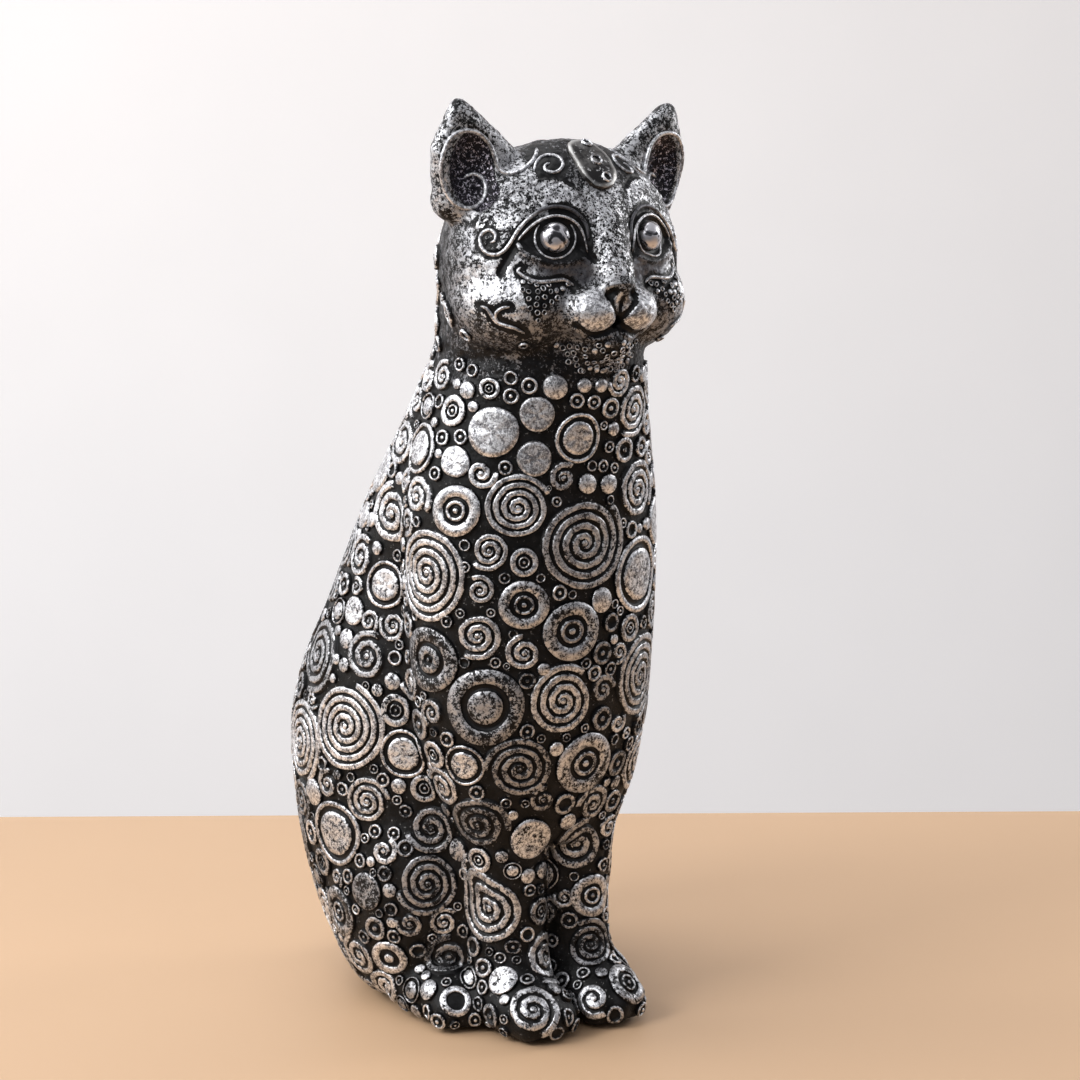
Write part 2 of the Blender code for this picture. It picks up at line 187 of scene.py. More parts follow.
# The discs on the side seen from the main viewpoint: (across, up, radius) on the upright plane through the
# origin that faces it, with the turns of a spiral last. A negative number winds the other way.
MOTIFS = {
    "spiral": (
        (-13, 211.5, 4.7, 2), (44.5, 210, 4.4, 2), (49, 200.5, 8.1, 3), (-1, 179, 4.3, -1.6),
        (26, 177.5, 4.3, 1.5), (-22, 171.5, 6, 2), (11, 167.5, 10, 4), (33, 155.5, 14.8, -4.5),
        (50.5, 173.5, 9.2, 3), (1.5, 153, 5.7, 2.5), (-1.5, 139.5, 5, -2), (-19, 145.5, 15, 5),
        (-2.5, 124, 7, 2.5), (13, 118, 5.3, 2), (26, 101.5, 10.8, 3.5), (51.5, 110, 13.8, 4.5),
        (-17.5, 97.5, 4.5, -1.6), (11.5, 78, 10.4, -3.5), (50, 80.5, 10.5, 3.5),
        (-18.5, 57.5, 7.5, 2.4), (-2.5, 59, 9.3, 3), (31, 52, 8.8, 2.5), (-20, 38, 9.8, 3.5),
        (27, 33, 3.9, 1.5), (35.5, 16, 7.8, -3), (19.5, 11, 9, 2.5), (-13, 12, 7.4, 2),
        (16, -7.5, 8, 2.4), (37, -3.5, 5.3, -1.7), (-14.5, 24.5, 4.6, 2), (-26, 24, 4, 1.5),
        (-30.5, 165.5, 9, 2.5), (-41, 151, 6.3, 2.2), (-38.5, 129, 4.2, 1.5), (-30.5, 127.5, 4.8, 2),
        (-39.5, 117, 7.5, 2.3), (-55.5, 118, 11.5, 3.5), (-47, 93, 14.2, -5), (-62, 88.5, 13, 4.5),
        (-53, 73, 4.2, 1.5), (-40, 67, 8.6, 3), (-34.5, 49.5, 4.3, -1.5), (-43, 13, 7.3, 2.2),
    ),
    "rimmed": (
        (-18, 201.5, 4.4), (31, 191, 8.1), (-21, 187.5, 8.5), (51, 145, 12.5), (-7, 79.5, 7),
        (-27.5, 83.5, 8.2), (-33, 141.5, 8), (-50.5, 56, 11.5),
    ),
    "moon": ((0, 99.5, 12.8),),
    "iris": ((-18.5, 116, 11),),
    "target": (
        (2, 207.5, 3.7), (-10, 200, 5.2), (-9.5, 166.5, 9.3), (13, 149, 4.8), (13, 134.5, 8.2),
        (29, 125.5, 10), (-30, 98.5, 5.5), (33.5, 80, 10.8),
        (-20.5, 71.5, 5.6), (18, 28, 5.4), (36, 33.5, 7.6), (48.5, 2, 7.2), (-49.5, 28.5, 8.5),
        (-55, 46, 6),
    ),
    "plain": (
        (-8.5, 209, 1.9), (23.5, 208, 4.1), (33, 208.5, 2.5), (38.5, 208.5, 2.4), (3, 193, 8.2),
        (17.5, 199, 5.7), (-9.5, 183, 5.2), (16.5, 184, 5.7), (42.5, 194, 2.4), (34, 175.5, 3.4),
        (41, 175.5, 3.4), (53.5, 162, 2.3), (19.5, 112.5, 2.3), (15, 54, 7.3), (9, 62, 2),
        (5.5, 47.5, 2.3), (18.5, 42.5, 3), (6, 3, 5), (39.5, 5.5, 2.2), (-22.5, 7.5, 2),
        (-19.5, 0, 3.4), (-33.5, 180, 7), (-35.5, 154, 2.4), (-43.5, 132.5, 4.8), (-46, 123, 3.8),
        (-49.5, 116, 2.5), (-31, 108.5, 3), (-36, 105.5, 2.3), (-39.5, 165, 4.5), (-40.5, 35.5, 6.5),
        (-32, 24.5, 2),
    ),
    "ring": (
        (-7.5, 215.5, 2.5), (15, 208.5, 2.9), (9, 205, 2.8), (49.5, 212.5, 3), (30.5, 203.5, 2.7),
        (36, 203, 2.6), (41.5, 201, 3.6), (-13.5, 191, 2.8), (7, 181, 2.6), (46, 187, 4.4),
        (41, 188, 2.2), (51.5, 188, 3.6), (39, 181.5, 2.3), (-16, 179, 2.6), (-6.5, 147.5, 2.6),
        (-28.5, 151.5, 2.4), (-12.5, 129, 2.5), (39, 118, 4), (52.5, 128.5, 2.5), (39, 95.5, 4.2),
        (47, 90.5, 2.3), (42.5, 67, 4), (-27, 63.5, 2.6), (14.5, 35.5, 2.6), (2, -9, 4),
        (33.5, 5.5, 2.5), (45.5, 19.5, 5.5), (27, -2.5, 2.7), (27.5, -10, 3), (5, 11.5, 2.2),
        (-0.5, 8, 3.5), (-46.5, 141.5, 4), (-39, 171, 2.4), (-28.5, 121, 2.4), (-34.5, 74.5, 2.6),
        (-31, 55.5, 2.5), (-38, 42, 2), (-37.5, 22.5, 4.2), (-33, 12, 6.5),
    ),
    "loop": (
        (-3.5, 213.5, 2.3), (9, 211, 2.5), (48.5, 160, 3.6), (42, 128.5, 3.3), (26.5, 66, 4),
        (-10.5, -4, 5.2),
    ),
    "leaf": (
        (1.5, 29, 11.5, 3.4),
    ),
}
LEAF_TURN = math.radians(120)  # the leaf's point is turned this much from the viewer's right

# Smallest and largest radius of each round of filling, the gap kept, and the share of the open places filled
SIZES = (
    (9.5, 13.5, 0.1, 1.0), (6.5, 9.0, 0.0, 1.0), (4.2, 6.2, -0.1, 1.0), (2.6, 4.0, -0.1, 1.0),
    (1.7, 2.5, 0.0, 0.7), (1.0, 1.5, 0.2, 0.01),
)
# The kinds of filling disc above each radius, with the running total of their shares
KINDS = (
    (6.3, {"spiral": 0.62, "target": 0.8, "rimmed": 0.9, "double": 0.96, "plain": 1.0}),
    (3.0, {"spiral": 0.42, "target": 0.55, "rimmed": 0.65, "ring": 0.8, "plain": 0.97, "loop": 1.0}),
    (0.0, {"ring": 0.55, "plain": 0.85, "loop": 1.0}),
)
TONES = (0.15, 0.6)  # duller to brighter discs
PAINTED_HIGHLIGHT_RISE = (120, 60)  # painted highlight: the discs grow brighter from this level, over this height
PAINTED_HIGHLIGHT_GAIN = {"plain": 0.25, "rimmed": 0.2, "target": 0.1}  # the extra painted-highlight tone that these kinds gain there as well

# The limits of the pieces that the body's discs are gathered in
PAWS = (26, -8)  # below this level and in front of this depth
FORELEGS = (78, -12)
UPPER = 118  # the level that parts upper from lower
CHEST_SPAN = 50  # degrees to each side of straight ahead
BACK_SPAN = 135  # degrees from straight ahead to where the back starts

# ---------------------------------------------------------------- meshes


def unit(rows):
    return rows / np.maximum(np.linalg.norm(rows, axis=-1, keepdims=True), 1e-9)


def smoothstep(x):
    x = np.clip(x, 0.0, 1.0)
    return x * x * (3 - 2 * x)


def rise(x, start, width):
    """0 up to start, and 1 from there plus width."""
    return smoothstep((x - start) / width)


def fall(x, end, width):
    """0 from end on, and 1 up to width before it."""
    return smoothstep((end - x) / width)


def circle(count):
    return np.arange(count) * TURN / count


def new_object(name, data):
    obj = bpy.data.objects.new(name, data)
    bpy.context.scene.collection.objects.link(obj)
    return obj


def build_piece(name, points, triangles, finish, slot, replaced=None, **paint):
    """A smooth-shaded piece from millimetre points, with one number per point for each kind of paint."""
    mesh = bpy.data.meshes.new(name)
    mesh.vertices.add(len(points))
    mesh.vertices.foreach_set("co", (points * MM).astype(np.float32).ravel())
    mesh.loops.add(triangles.size)
    mesh.loops.foreach_set("vertex_index", triangles.astype(np.int32).ravel())
    mesh.polygons.add(len(triangles))
    mesh.polygons.foreach_set("loop_start", np.arange(0, triangles.size, 3, dtype=np.int32))
    mesh.update(calc_edges=True)
    mesh.validate()
    mesh.shade_smooth()
    for key, values in paint.items():
        layer = mesh.attributes.new(key, "FLOAT", "POINT")
        layer.data.foreach_set("value", np.asarray(values, np.float32))
    mesh.materials.append(finish)
    obj = new_object(name, mesh)
    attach(obj, "root")
    if replaced:
        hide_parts(replaced)
    return obj


def polar_triangles(rows, columns):
    """Faces of a closed skin: a first point, rings of `columns` points, and a last point."""
    here = np.arange(columns)
    following = (here + 1) % columns
    faces = [np.stack([np.zeros(columns, int), 1 + here, 1 + following], 1)]
    for row in range(rows - 1):
        near, far = 1 + row * columns, 1 + (row + 1) * columns
        faces.append(np.stack([near + here, far + here, far + following], 1))
        faces.append(np.stack([near + here, far + following, near + following], 1))
    last = 1 + (rows - 1) * columns
    faces.append(np.stack([np.full(columns, 1 + rows * columns), last + following, last + here], 1))
    return np.concatenate(faces)


class Batch:
    """Closed shapes gathered into one piece."""

    def __init__(self):
        self.points, self.triangles, self.relief, self.tone = [], [], [], []
        self.count = 0

    def add(self, points, triangles, relief, tone):
        self.points.append(points)
        self.triangles.append(triangles + self.count)
        self.relief.append(relief)
        self.tone.append(np.full(len(points), tone))
        self.count += len(points)

    def build(self, name, finish):
        points, triangles = np.concatenate(self.points), np.concatenate(self.triangles)
        relief, tone = np.concatenate(self.relief), np.concatenate(self.tone)
        build_piece(name, points, triangles, finish, "cast_shell", relief=relief, tone=tone)


def catmull_rom(rows, steps):
    """Points on a smooth curve through the rows."""
    rows = np.asarray(rows, float)
    padded = np.concatenate([rows[:1], rows, rows[-1:]])
    t = np.linspace(0, 1, steps, endpoint=False)[:, None]
    points = []
    for a, b, c, d in zip(padded, padded[1:], padded[2:], padded[3:]):
        points.append(0.5 * (2 * b + (c - a) * t + (2 * a - 5 * b + 4 * c - d) * t**2
                             + (3 * b - a - 3 * c + d) * t**3))
    points.append(rows[-1:])
    return np.concatenate(points)


# ---------------------------------------------------------------- skins


def loft(bm, rows):
    """A closed skin through level ellipses."""
    around = [(math.cos(a), math.sin(a)) for a in circle(LOFT_SIDES)]
    rings = []
    for z, y, half_width, half_depth in catmull_rom(rows, 4):
        rings.append([bm.verts.new((half_width * c, y + half_depth * s, z)) for c, s in around])
    for low, high in zip(rings, rings[1:]):
        for k in range(LOFT_SIDES):
            n = (k + 1) % LOFT_SIDES
            bm.faces.new((low[k], low[n], high[n], high[k]))
    bm.faces.new(list(reversed(rings[0])))
    bm.faces.new(rings[-1])


def ellipsoid(bm, spec, side=1):
    x, y, z, *radii = spec
    placed = Matrix.Translation(Vector((side * x, y, z))) @ Matrix.Diagonal((*radii, 1))
    bmesh.ops.create_uvsphere(bm, u_segments=32, v_segments=16, radius=1, matrix=placed)


def hulled(bm, beads, side=1):
    """A convex skin round several ellipsoids."""
    part = bmesh.new()
    for bead in beads:
        ellipsoid(part, bead, side)
    hull = bmesh.ops.convex_hull(part, input=part.verts)
    inside_hull = [v for v in hull["geom_interior"] if isinstance(v, bmesh.types.BMVert)]
    bmesh.ops.delete(part, geom=inside_hull, context="VERTS")
    piece = bpy.data.meshes.new("hulled")
    part.to_mesh(piece)
    part.free()
    bm.from_mesh(piece)
    bpy.data.meshes.remove(piece)


def limb(bm, beads, side=1):
    if len(beads) == 1:
        ellipsoid(bm, beads[0], side)
    for pair in zip(beads, beads[1:]):
        hulled(bm, pair, side)


def merged_mesh(name, bm, voxel):
    """One closed skin round overlapping masses, blurred and set back to the frame's place."""
    bmesh.ops.recalc_face_normals(bm, faces=bm.faces)
    source_mesh = bpy.data.meshes.new(name)
    bm.to_mesh(source_mesh)
    bm.free()
    source = new_object(name + "_masses", source_mesh)
    merge = source.modifiers.new("merge", "REMESH")
    merge.mode = "VOXEL"
    merge.voxel_size = voxel
    blur = source.modifiers.new("blur", "SMOOTH")
    blur.factor = 0.5
    blur.iterations = round((BLUR / voxel) ** 2)
    mesh = bpy.data.meshes.new_from_object(source.evaluated_get(bpy.context.evaluated_depsgraph_get()))
    bpy.data.objects.remove(source, do_unlink=True)
    mesh.transform(Matrix.Translation((0, SET_BACK, 0)))
    mesh.name = name
    return mesh


def trim(mesh, level, keep_above):
    """Cuts the closed mesh at a level and closes the cut with a flat face."""
    bm = bmesh.new()
    bm.from_mesh(mesh)
    everything = bm.verts[:] + bm.edges[:] + bm.faces[:]
    bmesh.ops.bisect_plane(
        bm, geom=everything, dist=1e-5, plane_co=(0, 0, level), plane_no=(0, 0, 1),
        clear_outer=not keep_above, clear_inner=keep_above,
    )
    rim = [e for e in bm.edges if e.is_boundary]
    bmesh.ops.contextual_create(bm, geom=rim)
    bmesh.ops.triangulate(bm, faces=bm.faces)
    bmesh.ops.recalc_face_normals(bm, faces=bm.faces)
    bm.to_mesh(mesh)
    bm.free()


def body_masses():
    """The body's skin with its neck running on up inside the head."""
    bm = bmesh.new()
    loft(bm, TORSO)
    loft(bm, CHEST)
    limb(bm, TAIL)
    for side in (-1, 1):
        for beads in (FORELEG, FORE_PAW, HIND_PAW, THIGH):
            limb(bm, beads, side)
        for x, y in TOES:
            ellipsoid(bm, (x, y, TOE_Z, *TOE_RADII), side)
    limb(bm, NAPE)
    return merged_mesh("body_skin", bm, BODY_VOXEL)


def head_mesh():
    bm = bmesh.new()
    loft(bm, TORSO[-4:])
    loft(bm, CHEST[-4:])
    for beads in (NAPE, NOSE, CHIN, SKULL[:1], SKULL[1:]):
        limb(bm, beads)
    for side in (-1, 1):
        limb(bm, CHEEK, side)
        limb(bm, MUZZLE, side)
        hulled(bm, EAR, side)
    mesh = merged_mesh("head_skin", bm, HEAD_VOXEL)
    trim(mesh, NECK_Z, keep_above=True)
    return mesh


def read(items, key, width):
    values = np.empty(len(items) * width, np.float32)
    items.foreach_get(key, values)
    return values.reshape(-1, width).astype(float)


class Skin:
    """A closed skin that points can be laid on or thrown at."""

    def __init__(self, points, triangles, normals):
        self.points, self.triangles, self.normals = points, triangles, normals
        self.tree = BVHTree.FromPolygons(points.tolist(), triangles.tolist())

    @classmethod
    def of(cls, mesh):
        mesh.calc_loop_triangles()
        corners = np.empty(len(mesh.loop_triangles) * 3, np.int32)
        mesh.loop_triangles.foreach_get("vertices", corners)
        return cls(read(mesh.vertices, "co", 3), corners.reshape(-1, 3), read(mesh.vertices, "normal", 3))

    def smooth_normals(self, where, faces):
        corners = self.points[self.triangles[faces]]
        a, b, c = corners[:, 0], corners[:, 1], corners[:, 2]
        pairs = ((b, c), (c, a), (a, b))
        areas = np.stack([np.linalg.norm(np.cross(p - where, q - where), axis=1) for p, q in pairs], 1)
        weights = areas / np.maximum(areas.sum(1, keepdims=True), 1e-9)
        return unit((self.normals[self.triangles[faces]] * weights[..., None]).sum(1))

    def nearest(self, points):
        hits = [self.tree.find_nearest(p) for p in points.tolist()]
        where = np.array([tuple(hit[0]) for hit in hits])
        return where, self.smooth_normals(where, np.array([hit[2] for hit in hits]))

    def thrown(self, origin, direction):
        """Where a ray lands, or the skin's nearest place to it if it passes by."""
        hit = self.tree.ray_cast(origin.tolist(), direction.tolist())
        if hit[0] is None:
            reach = np.linalg.norm(origin) + np.arange(-80, 80, 4.0)
            tries = origin + reach[:, None] * unit(direction)
            hit = min((self.tree.find_nearest(p) for p in tries.tolist()), key=lambda found: found[3])
        where = np.array([tuple(hit[0])])
        return where[0], self.smooth_normals(where, np.array([hit[2]]))[0]


# ---------------------------------------------------------------- discs


def spread(skin, centre, normal, forward, columns, reach):
    """Points and normals along `columns` paths that leave a centre all round and follow the skin."""
    step = min(MARCH, reach / 2)
    angles = circle(columns)
    forward = unit(forward - normal * (forward @ normal))
    heading = np.cos(angles)[:, None] * forward + np.sin(angles)[:, None] * np.cross(normal, forward)
    at = np.repeat(centre[None], columns, 0)
    points, normals = [at], [np.repeat(normal[None], columns, 0)]
    for _ in range(math.ceil(reach / step) + 1):
        at, facing = skin.nearest(at + step * heading)
        heading = unit(heading - facing * (heading * facing).sum(1, keepdims=True))
        points.append(at)
        normals.append(facing)
    return np.stack(points), np.stack(normals), step


def rim_shape(kind, angles, sway):
    """How far the rim stands out in each direction, as a share of the disc's radius."""
    shape = 1 + WOBBLE[0] * np.sin(2 * angles + sway[0]) + WOBBLE[1] * np.sin(3 * angles + sway[1])
    if kind == "leaf":  # a drop with its point at angle 0
        away = np.abs((angles + math.pi) % TURN - math.pi)
        return shape * (0.94 + 0.55 * np.exp(-((away / 0.42) ** 2)))
    if kind == "plate":  # an oval
        return shape + 0.2 * np.cos(2 * angles)
    return shape


def ridge_profile(x, low, high, edge):
    """1 on the ridge between low and high, falling to 0 over the rounded edges inside it."""
    inner = rise(x, low, edge) if low > 0 else 1.0
    return inner * fall(x, high, edge)


def wound_ridge(radius, turns, angles, groove):
    """A spiral's whole radius, its stations as shares of that, its ridge and the floor between its turns."""
    turns += math.copysign(EXTRA_TURN, turns)
    pitch = radius / (abs(turns) - 0.5)
    radius = pitch * abs(turns)
    shares = np.linspace(0, 1, int(8 * abs(turns)) + 1)[1:]
    along = angles / TURN if turns > 0 else 1 - angles / TURN
    wound = (radius - pitch * along[None] - shares[:, None] * radius) / pitch
    ridge = ridge_profile(wound % 1 + 1e-6, 1e-6, RIDGE_SHARE, 0.1) * rise(wound, -0.02, 0.05)
    outside_eye = rise(shares * radius, 0.25 * pitch, 0.25 * pitch)
    eye = 1 - rise(shares * radius, 0.22 * pitch, 0.2 * pitch)
    ridge = np.maximum(ridge * outside_eye[:, None], eye[:, None])
    return radius, shares, ridge, np.where(wound < 0, BED_MARGIN, groove)


def ring_ridges(kind, radius, edge):
    """A disc's stations as shares of its radius, its ridges, and the silver left on them."""
    bands = [(low, high, min(edge / radius, 0.4 * (high - low))) for low, high in BANDS[kind]]
    stations = {1.0}
    for low, high, width in bands:
        stations |= {high - width, high - width / 2, high, high - 0.85 * width}
        if low > 0:
            stations |= {low, low + width / 2, low + width, low + 0.85 * width}
    if radius > 5:
        stations |= {0.25, 0.5, 0.75}
    shares = np.array(sorted(stations))
    shares = shares[np.concatenate([[True], np.diff(shares) > 0.01])]
    ridge, silver = np.zeros(len(shares)), np.zeros(len(shares))
    for low, high, width in bands:
        band = ridge_profile(shares, low, high, width)
        inward = np.minimum(high - shares, shares - low if low > 0 else 1.0) * radius
        ridge = np.maximum(ridge, band)
        silver = np.maximum(silver, band * (1 - 0.22 * rise(inward, 0.8, 1.5)))
    return shares, ridge, silver


def button(skin, disc, rng):
    """Points, faces and relief of one disc: a closed button bedded in the skin."""
    centre, normal, radius, kind, turns, forward = disc
    columns = int(np.clip(TURN * radius / COLUMN_WIDTH, *COLUMNS)) if radius > TINY_RADIUS else TINY_COLUMNS
    angles = circle(columns)
    sway = rng.uniform(0, TURN, 2)
    shape = rim_shape(kind, angles, sway)
    paths, facings, step = spread(skin, centre, normal, forward, columns, radius * shape.max())
    height = min(RIDGE, 0.35 + 0.4 * radius)
    groove = min(GROOVE, 0.2 * radius)
    edge = min(EDGE, 0.2 * radius)
    if turns:
        radius, shares, ridge, floor = wound_ridge(radius, turns, angles, groove)
        relief = ridge
    else:
        shares, *rows = ring_ridges(kind, radius, edge)
        ridge, relief = (np.repeat(row[:, None], columns, 1) for row in rows)
        floor = np.full(ridge.shape, groove)
    lift = floor * rise((1 - shares) * radius, -0.2 * edge, edge)[:, None] + (height - groove) * ridge
    lift *= 1 + 0.05 * np.sin(5 * angles + sway[0]) * (shares[:, None] > 0.2)
    relief = rise(relief, 0.1, 0.5) * (0.25 + 0.75 * relief)
    under = np.linspace(1, 0, max(3, math.ceil(radius / 3)) + 1)[:-1]
    rows = np.concatenate([shares, under])
    lift = np.concatenate([lift, np.full((len(under), columns), -BED)])
    relief = np.concatenate([relief, np.zeros((len(under), columns))])
    out = rows[:, None] * radius * shape[None] / step
    low = np.minimum(out.astype(int), len(paths) - 2)
    blend = (out - low)[..., None]
    column = np.arange(columns)[None]
    at, facing = (way[low, column] * (1 - blend) + way[low + 1, column] * blend for way in (paths, facings))
    laid = (at + facing * lift[..., None]).reshape(-1, 3)
    middle = 0.0 if kind == "loop" else 1.0
    top = centre + normal * (groove + (height - groove) * middle)
    points = np.concatenate([top[None], laid, (centre - normal * BED)[None]])
    relief = np.concatenate([[middle], relief.ravel(), [0.0]])
    return points, polar_triangles(len(rows), columns), relief


# ---------------------------------------------------------------- where the discs go


def view_axes():
    """The main viewpoint and the directions that point right and forward from it, level."""
    forward = np.array([-math.sin(VIEW_AZIMUTH), math.cos(VIEW_AZIMUTH), 0.0])
    right = np.array([math.cos(VIEW_AZIMUTH), math.sin(VIEW_AZIMUTH), 0.0])
    return VIEW_HEIGHT * UP - forward * VIEW_DISTANCE, right, forward


def placed_motifs(skin, rng):
    """The discs of MOTIFS, laid on the skin, with those that crowd each other made a little smaller."""
    eye, right, _ = view_axes()
    discs = []
    for kind, rows in MOTIFS.items():
        for across, up, radius, *turns in rows:
            target = right * across + UP * up
            centre, normal = skin.thrown(eye, unit(target - eye))
            radius *= SPREAD * np.linalg.norm(centre - eye) / np.linalg.norm(target - eye)
            centre[2] = max(centre[2], FLOOR_Z + 0.8 * radius)
            angle = rng.uniform(0, TURN) if kind != "leaf" else LEAF_TURN
            forward = right * math.cos(angle) + UP * math.sin(angle)
            discs.append([centre, normal, radius, kind, turns[0] if turns else 0, forward])
    discs.sort(key=lambda disc: -disc[2])
    for i, large in enumerate(discs):
        for small in discs[i + 1:]:
            apart = np.linalg.norm(large[0] - small[0])
            if apart < large[2] + small[2] and large[1] @ small[1] > 0:
                large[2] = max(min(large[2], apart - 0.8 * small[2]), LEAST_CROWDED["large"] * large[2])
                small[2] = max(min(small[2], apart - large[2] + 0.3), LEAST_CROWDED["small"] * small[2])
    return discs


def scattered(skin, count, rng):
    """Points spread evenly over the skin by area."""
    a, b, c = (skin.points[skin.triangles[:, k]] for k in range(3))
    area = np.linalg.norm(np.cross(b - a, c - a), axis=1)
    faces = rng.choice(len(area), count, p=area / area.sum())
    u, v = np.sqrt(rng.random((count, 1))), rng.random((count, 1))
    where = a[faces] * (1 - u) + b[faces] * u * (1 - v) + c[faces] * u * v
    return where, skin.smooth_normals(where, faces)


def room_to_bend(where, normals, rng):
    """How far each place is from skin that faces well away from it."""
    pick = rng.choice(len(where), 5000, replace=False)
    there, facing = where[pick], normals[pick]
    room = np.empty(len(where))
    for start in range(0, len(where), 2000):
        part = slice(start, start + 2000)
        gaps = np.linalg.norm(where[part, None] - there[None], axis=2)
        gaps[normals[part] @ facing.T > math.cos(BEND)] = FAR
        room[part] = gaps.min(1)
    return room


def chosen_kind(radius, rng):
    draw = rng.random()
    kinds = next(shares for least, shares in KINDS if radius > least)
    kind = next(name for name, limit in kinds.items() if draw <= limit)
    if kind != "spiral":
        return kind, 0
    turns = max(1.5, radius / rng.uniform(2.6, 3.3))
    return kind, turns * rng.choice((-1, 1, 1))


def body_limits(where, normals):
    """How far each place on the body is from the edges of its relief."""
    return np.minimum(COLLAR_TOP - where[:, 2], where[:, 2] - FLOOR_Z - 0.3)


def nape_limits(where, normals):
    """How far each place on the head is from the edges of the relief on the back of the neck."""
    turned_away = np.arccos(np.clip(normals[:, 1], -1, 1))
    top = NAPE_TOP - NAPE_FALL * (turned_away / NAPE_SPAN) ** 2
    height = np.minimum(where[:, 2] - COLLAR_TOP, top - where[:, 2])
    return np.minimum(height, (NAPE_SPAN - turned_away) * NAPE_RADIUS)


def shrunk(room, where, normals, disc):
    """The room that is left at each place once a disc is laid."""
    centre, normal, radius, *_ = disc
    gap = np.linalg.norm(where - centre, axis=1) - radius
    gap[normals @ normal < -0.2] = FAR
    return np.minimum(room, gap)


def strewn(skin, discs, rng, limits, sizes, count):
    """Fills the skin round the placed discs with more, from the largest to the smallest."""
    where, normals = scattered(skin, count, rng)
    room = np.minimum(room_to_bend(where, normals, rng) * 0.9, limits(where, normals))
    for disc in discs:
        room = shrunk(room, where, normals, disc)
    discs = list(discs)
    for low, high, gap, share in sizes:
        order = rng.permutation(len(where))
        order = order[room[order] >= low + gap]
        for i in order[:math.ceil(share * len(order))]:
            if room[i] < low + gap:
                continue
            radius = min(room[i] - gap, rng.uniform(low + 0.4 * (high - low), high))
            kind, turns = chosen_kind(radius, rng)
            discs.append([where[i], normals[i], radius, kind, turns, rng.normal(size=3)])
            room = shrunk(room, where, normals, discs[-1])
    return discs


def region(centre):
    """The piece a disc on the body belongs to."""
    x, y, z = centre
    if z > NECK_Z:
        return "relief_collar"
    if z < PAWS[0] and y < PAWS[1]:
        return "relief_paws"
    if z < FORELEGS[0] and y < FORELEGS[1]:
        return "relief_forelegs"
    core = 8 if z < 140 else -18  # the middle of the trunk, which leans forward higher up
    bearing = math.degrees(math.atan2(x, core - y))
    level = "upper" if z > UPPER else "lower"
    if abs(bearing) < CHEST_SPAN:
        return f"relief_chest_{level}"
    if abs(bearing) > BACK_SPAN:
        return f"relief_back_{level}"
    return f"relief_{'left' if bearing > 0 else 'right'}_{level}"


def build_relief(skin, finish, discs, rng, named):
    """Makes the discs, gathered in pieces by the name that `named` gives to a place."""
    batches = {}
    for disc in discs:
        centre, kind = disc[0], disc[3]
        batch = batches.setdefault(named(centre), Batch())
        points, triangles, relief = button(skin, disc, rng)
        # Painted highlight: discs higher up gain tone on top of their own random tone
        high = rise(centre[2], *PAINTED_HIGHLIGHT_RISE) * (1.6 if kind == "plain" else 1.0)
        tone = rng.uniform(*TONES) + (PAINTED_HIGHLIGHT_GAIN.get(kind, 0.0) + 0.2) * high
        batch.add(points, triangles, relief, tone)
    for name, batch in sorted(batches.items()):
        batch.build(name, finish)


# ---------------------------------------------------------------- head

# The face's lines are measured across (towards the nose) and up from the middle of the eye, on an upright
# plane that faces the main viewpoint for the cat's right side and mirrors it for the left.
LINER = (
    (-17.4, -10.3), (-15.9, -7.4), (-14.0, -4.3), (-11.5, -0.3), (-8.0, 4.0), (-4.0, 6.9), (-0.5, 8.0),
    (3.5, 7.3), (7.0, 4.6), (9.0, 0.5), (9.6, -3.8), (11.6, -6.6),
)
UPPER_LID = ((-11.9, -0.6), (-9.4, 2.3), (-5.5, 5.3), (-0.3, 6.9), (4.8, 5.5), (7.9, 1.9), (9.4, -4.5))
EYE_RING = tuple((EYE_RING_RADIUS * math.cos(a) + EYE_SHIFT[0], EYE_RING_RADIUS * math.sin(a))
                 for a in np.radians(np.arange(140, 401, 10)))
LOWER_LID = ((-11.9, -0.6), (-10.1, -3.1), (-6.8, -4.8), (-1.6, -6.6), (3.5, -6.3), (7.1, -5.2), (9.4, -4.5))
LID_CURL = (
    (9.9, -1.0), (8.9, 4.5), (4.4, 8.6), (-1.0, 9.5), (-6.4, 7.6), (-10.9, 3.7), (-13.2, 0.3), (-15.4, -3.0),
    (-17.7, -4.8), (-20.5, -4.9), (-22.8, -3.2), (-23.4, -0.6), (-22.6, 1.6), (-20.5, 2.5), (-18.7, 1.2),
    (-18.9, -0.8), (-20.3, -1.4),
)
UNDER_EYE = (
    (-11.0, -8.7), (-12.1, -10.0), (-10.3, -11.5), (-8.1, -12.6), (-5.5, -13.3), (-1.0, -12.9), (2.3, -12.6),
    (5.2, -14.5),
)
JAW = (
    (-23.2, -20.6), (-21.3, -21.2), (-20.0, -23.2), (-18.4, -25.3), (-15.8, -26.3), (-12.9, -27.1),
    (-10.0, -28.7),
)
JAW_HOOK = ((-14.5, -20.6), (-16.8, -21.0), (-18.5, -22.5), (-18.7, -24.2), (-17.4, -25.8))
EAR_WIRE = (
    (-28.4, 18.1), (-26.1, 19.5), (-23.2, 18.7), (-21.5, 15.8), (-21.9, 12.3), (-23.9, 9.7), (-26.8, 8.7),
    (-30.3, 9.7), (-32.9, 12.3), (-34.5, 16.1), (-35.3, 20.0), (-34.8, 24.5), (-33.2, 29.0), (-30.6, 31.6),
    (-26.8, 32.6), (-23.5, 31.6), (-20.6, 28.7), (-19.2, 25.5), (-18.4, 22.6), (-17.1, 20.3), (-14.4, 19.2),
    (-10.6, 20.3), (-7.4, 22.9), (-6.0, 25.2), (-5.8, 27.1),
)
BROW_CURL = (
    (-6.8, 20.0), (-6.2, 22.6), (-3.9, 24.7), (-1.0, 25.0), (1.5, 23.9), (2.1, 21.9), (0.6, 20.1),
    (-1.6, 19.7), (-3.5, 20.5), (-3.4, 21.9), (-1.9, 22.6),
)
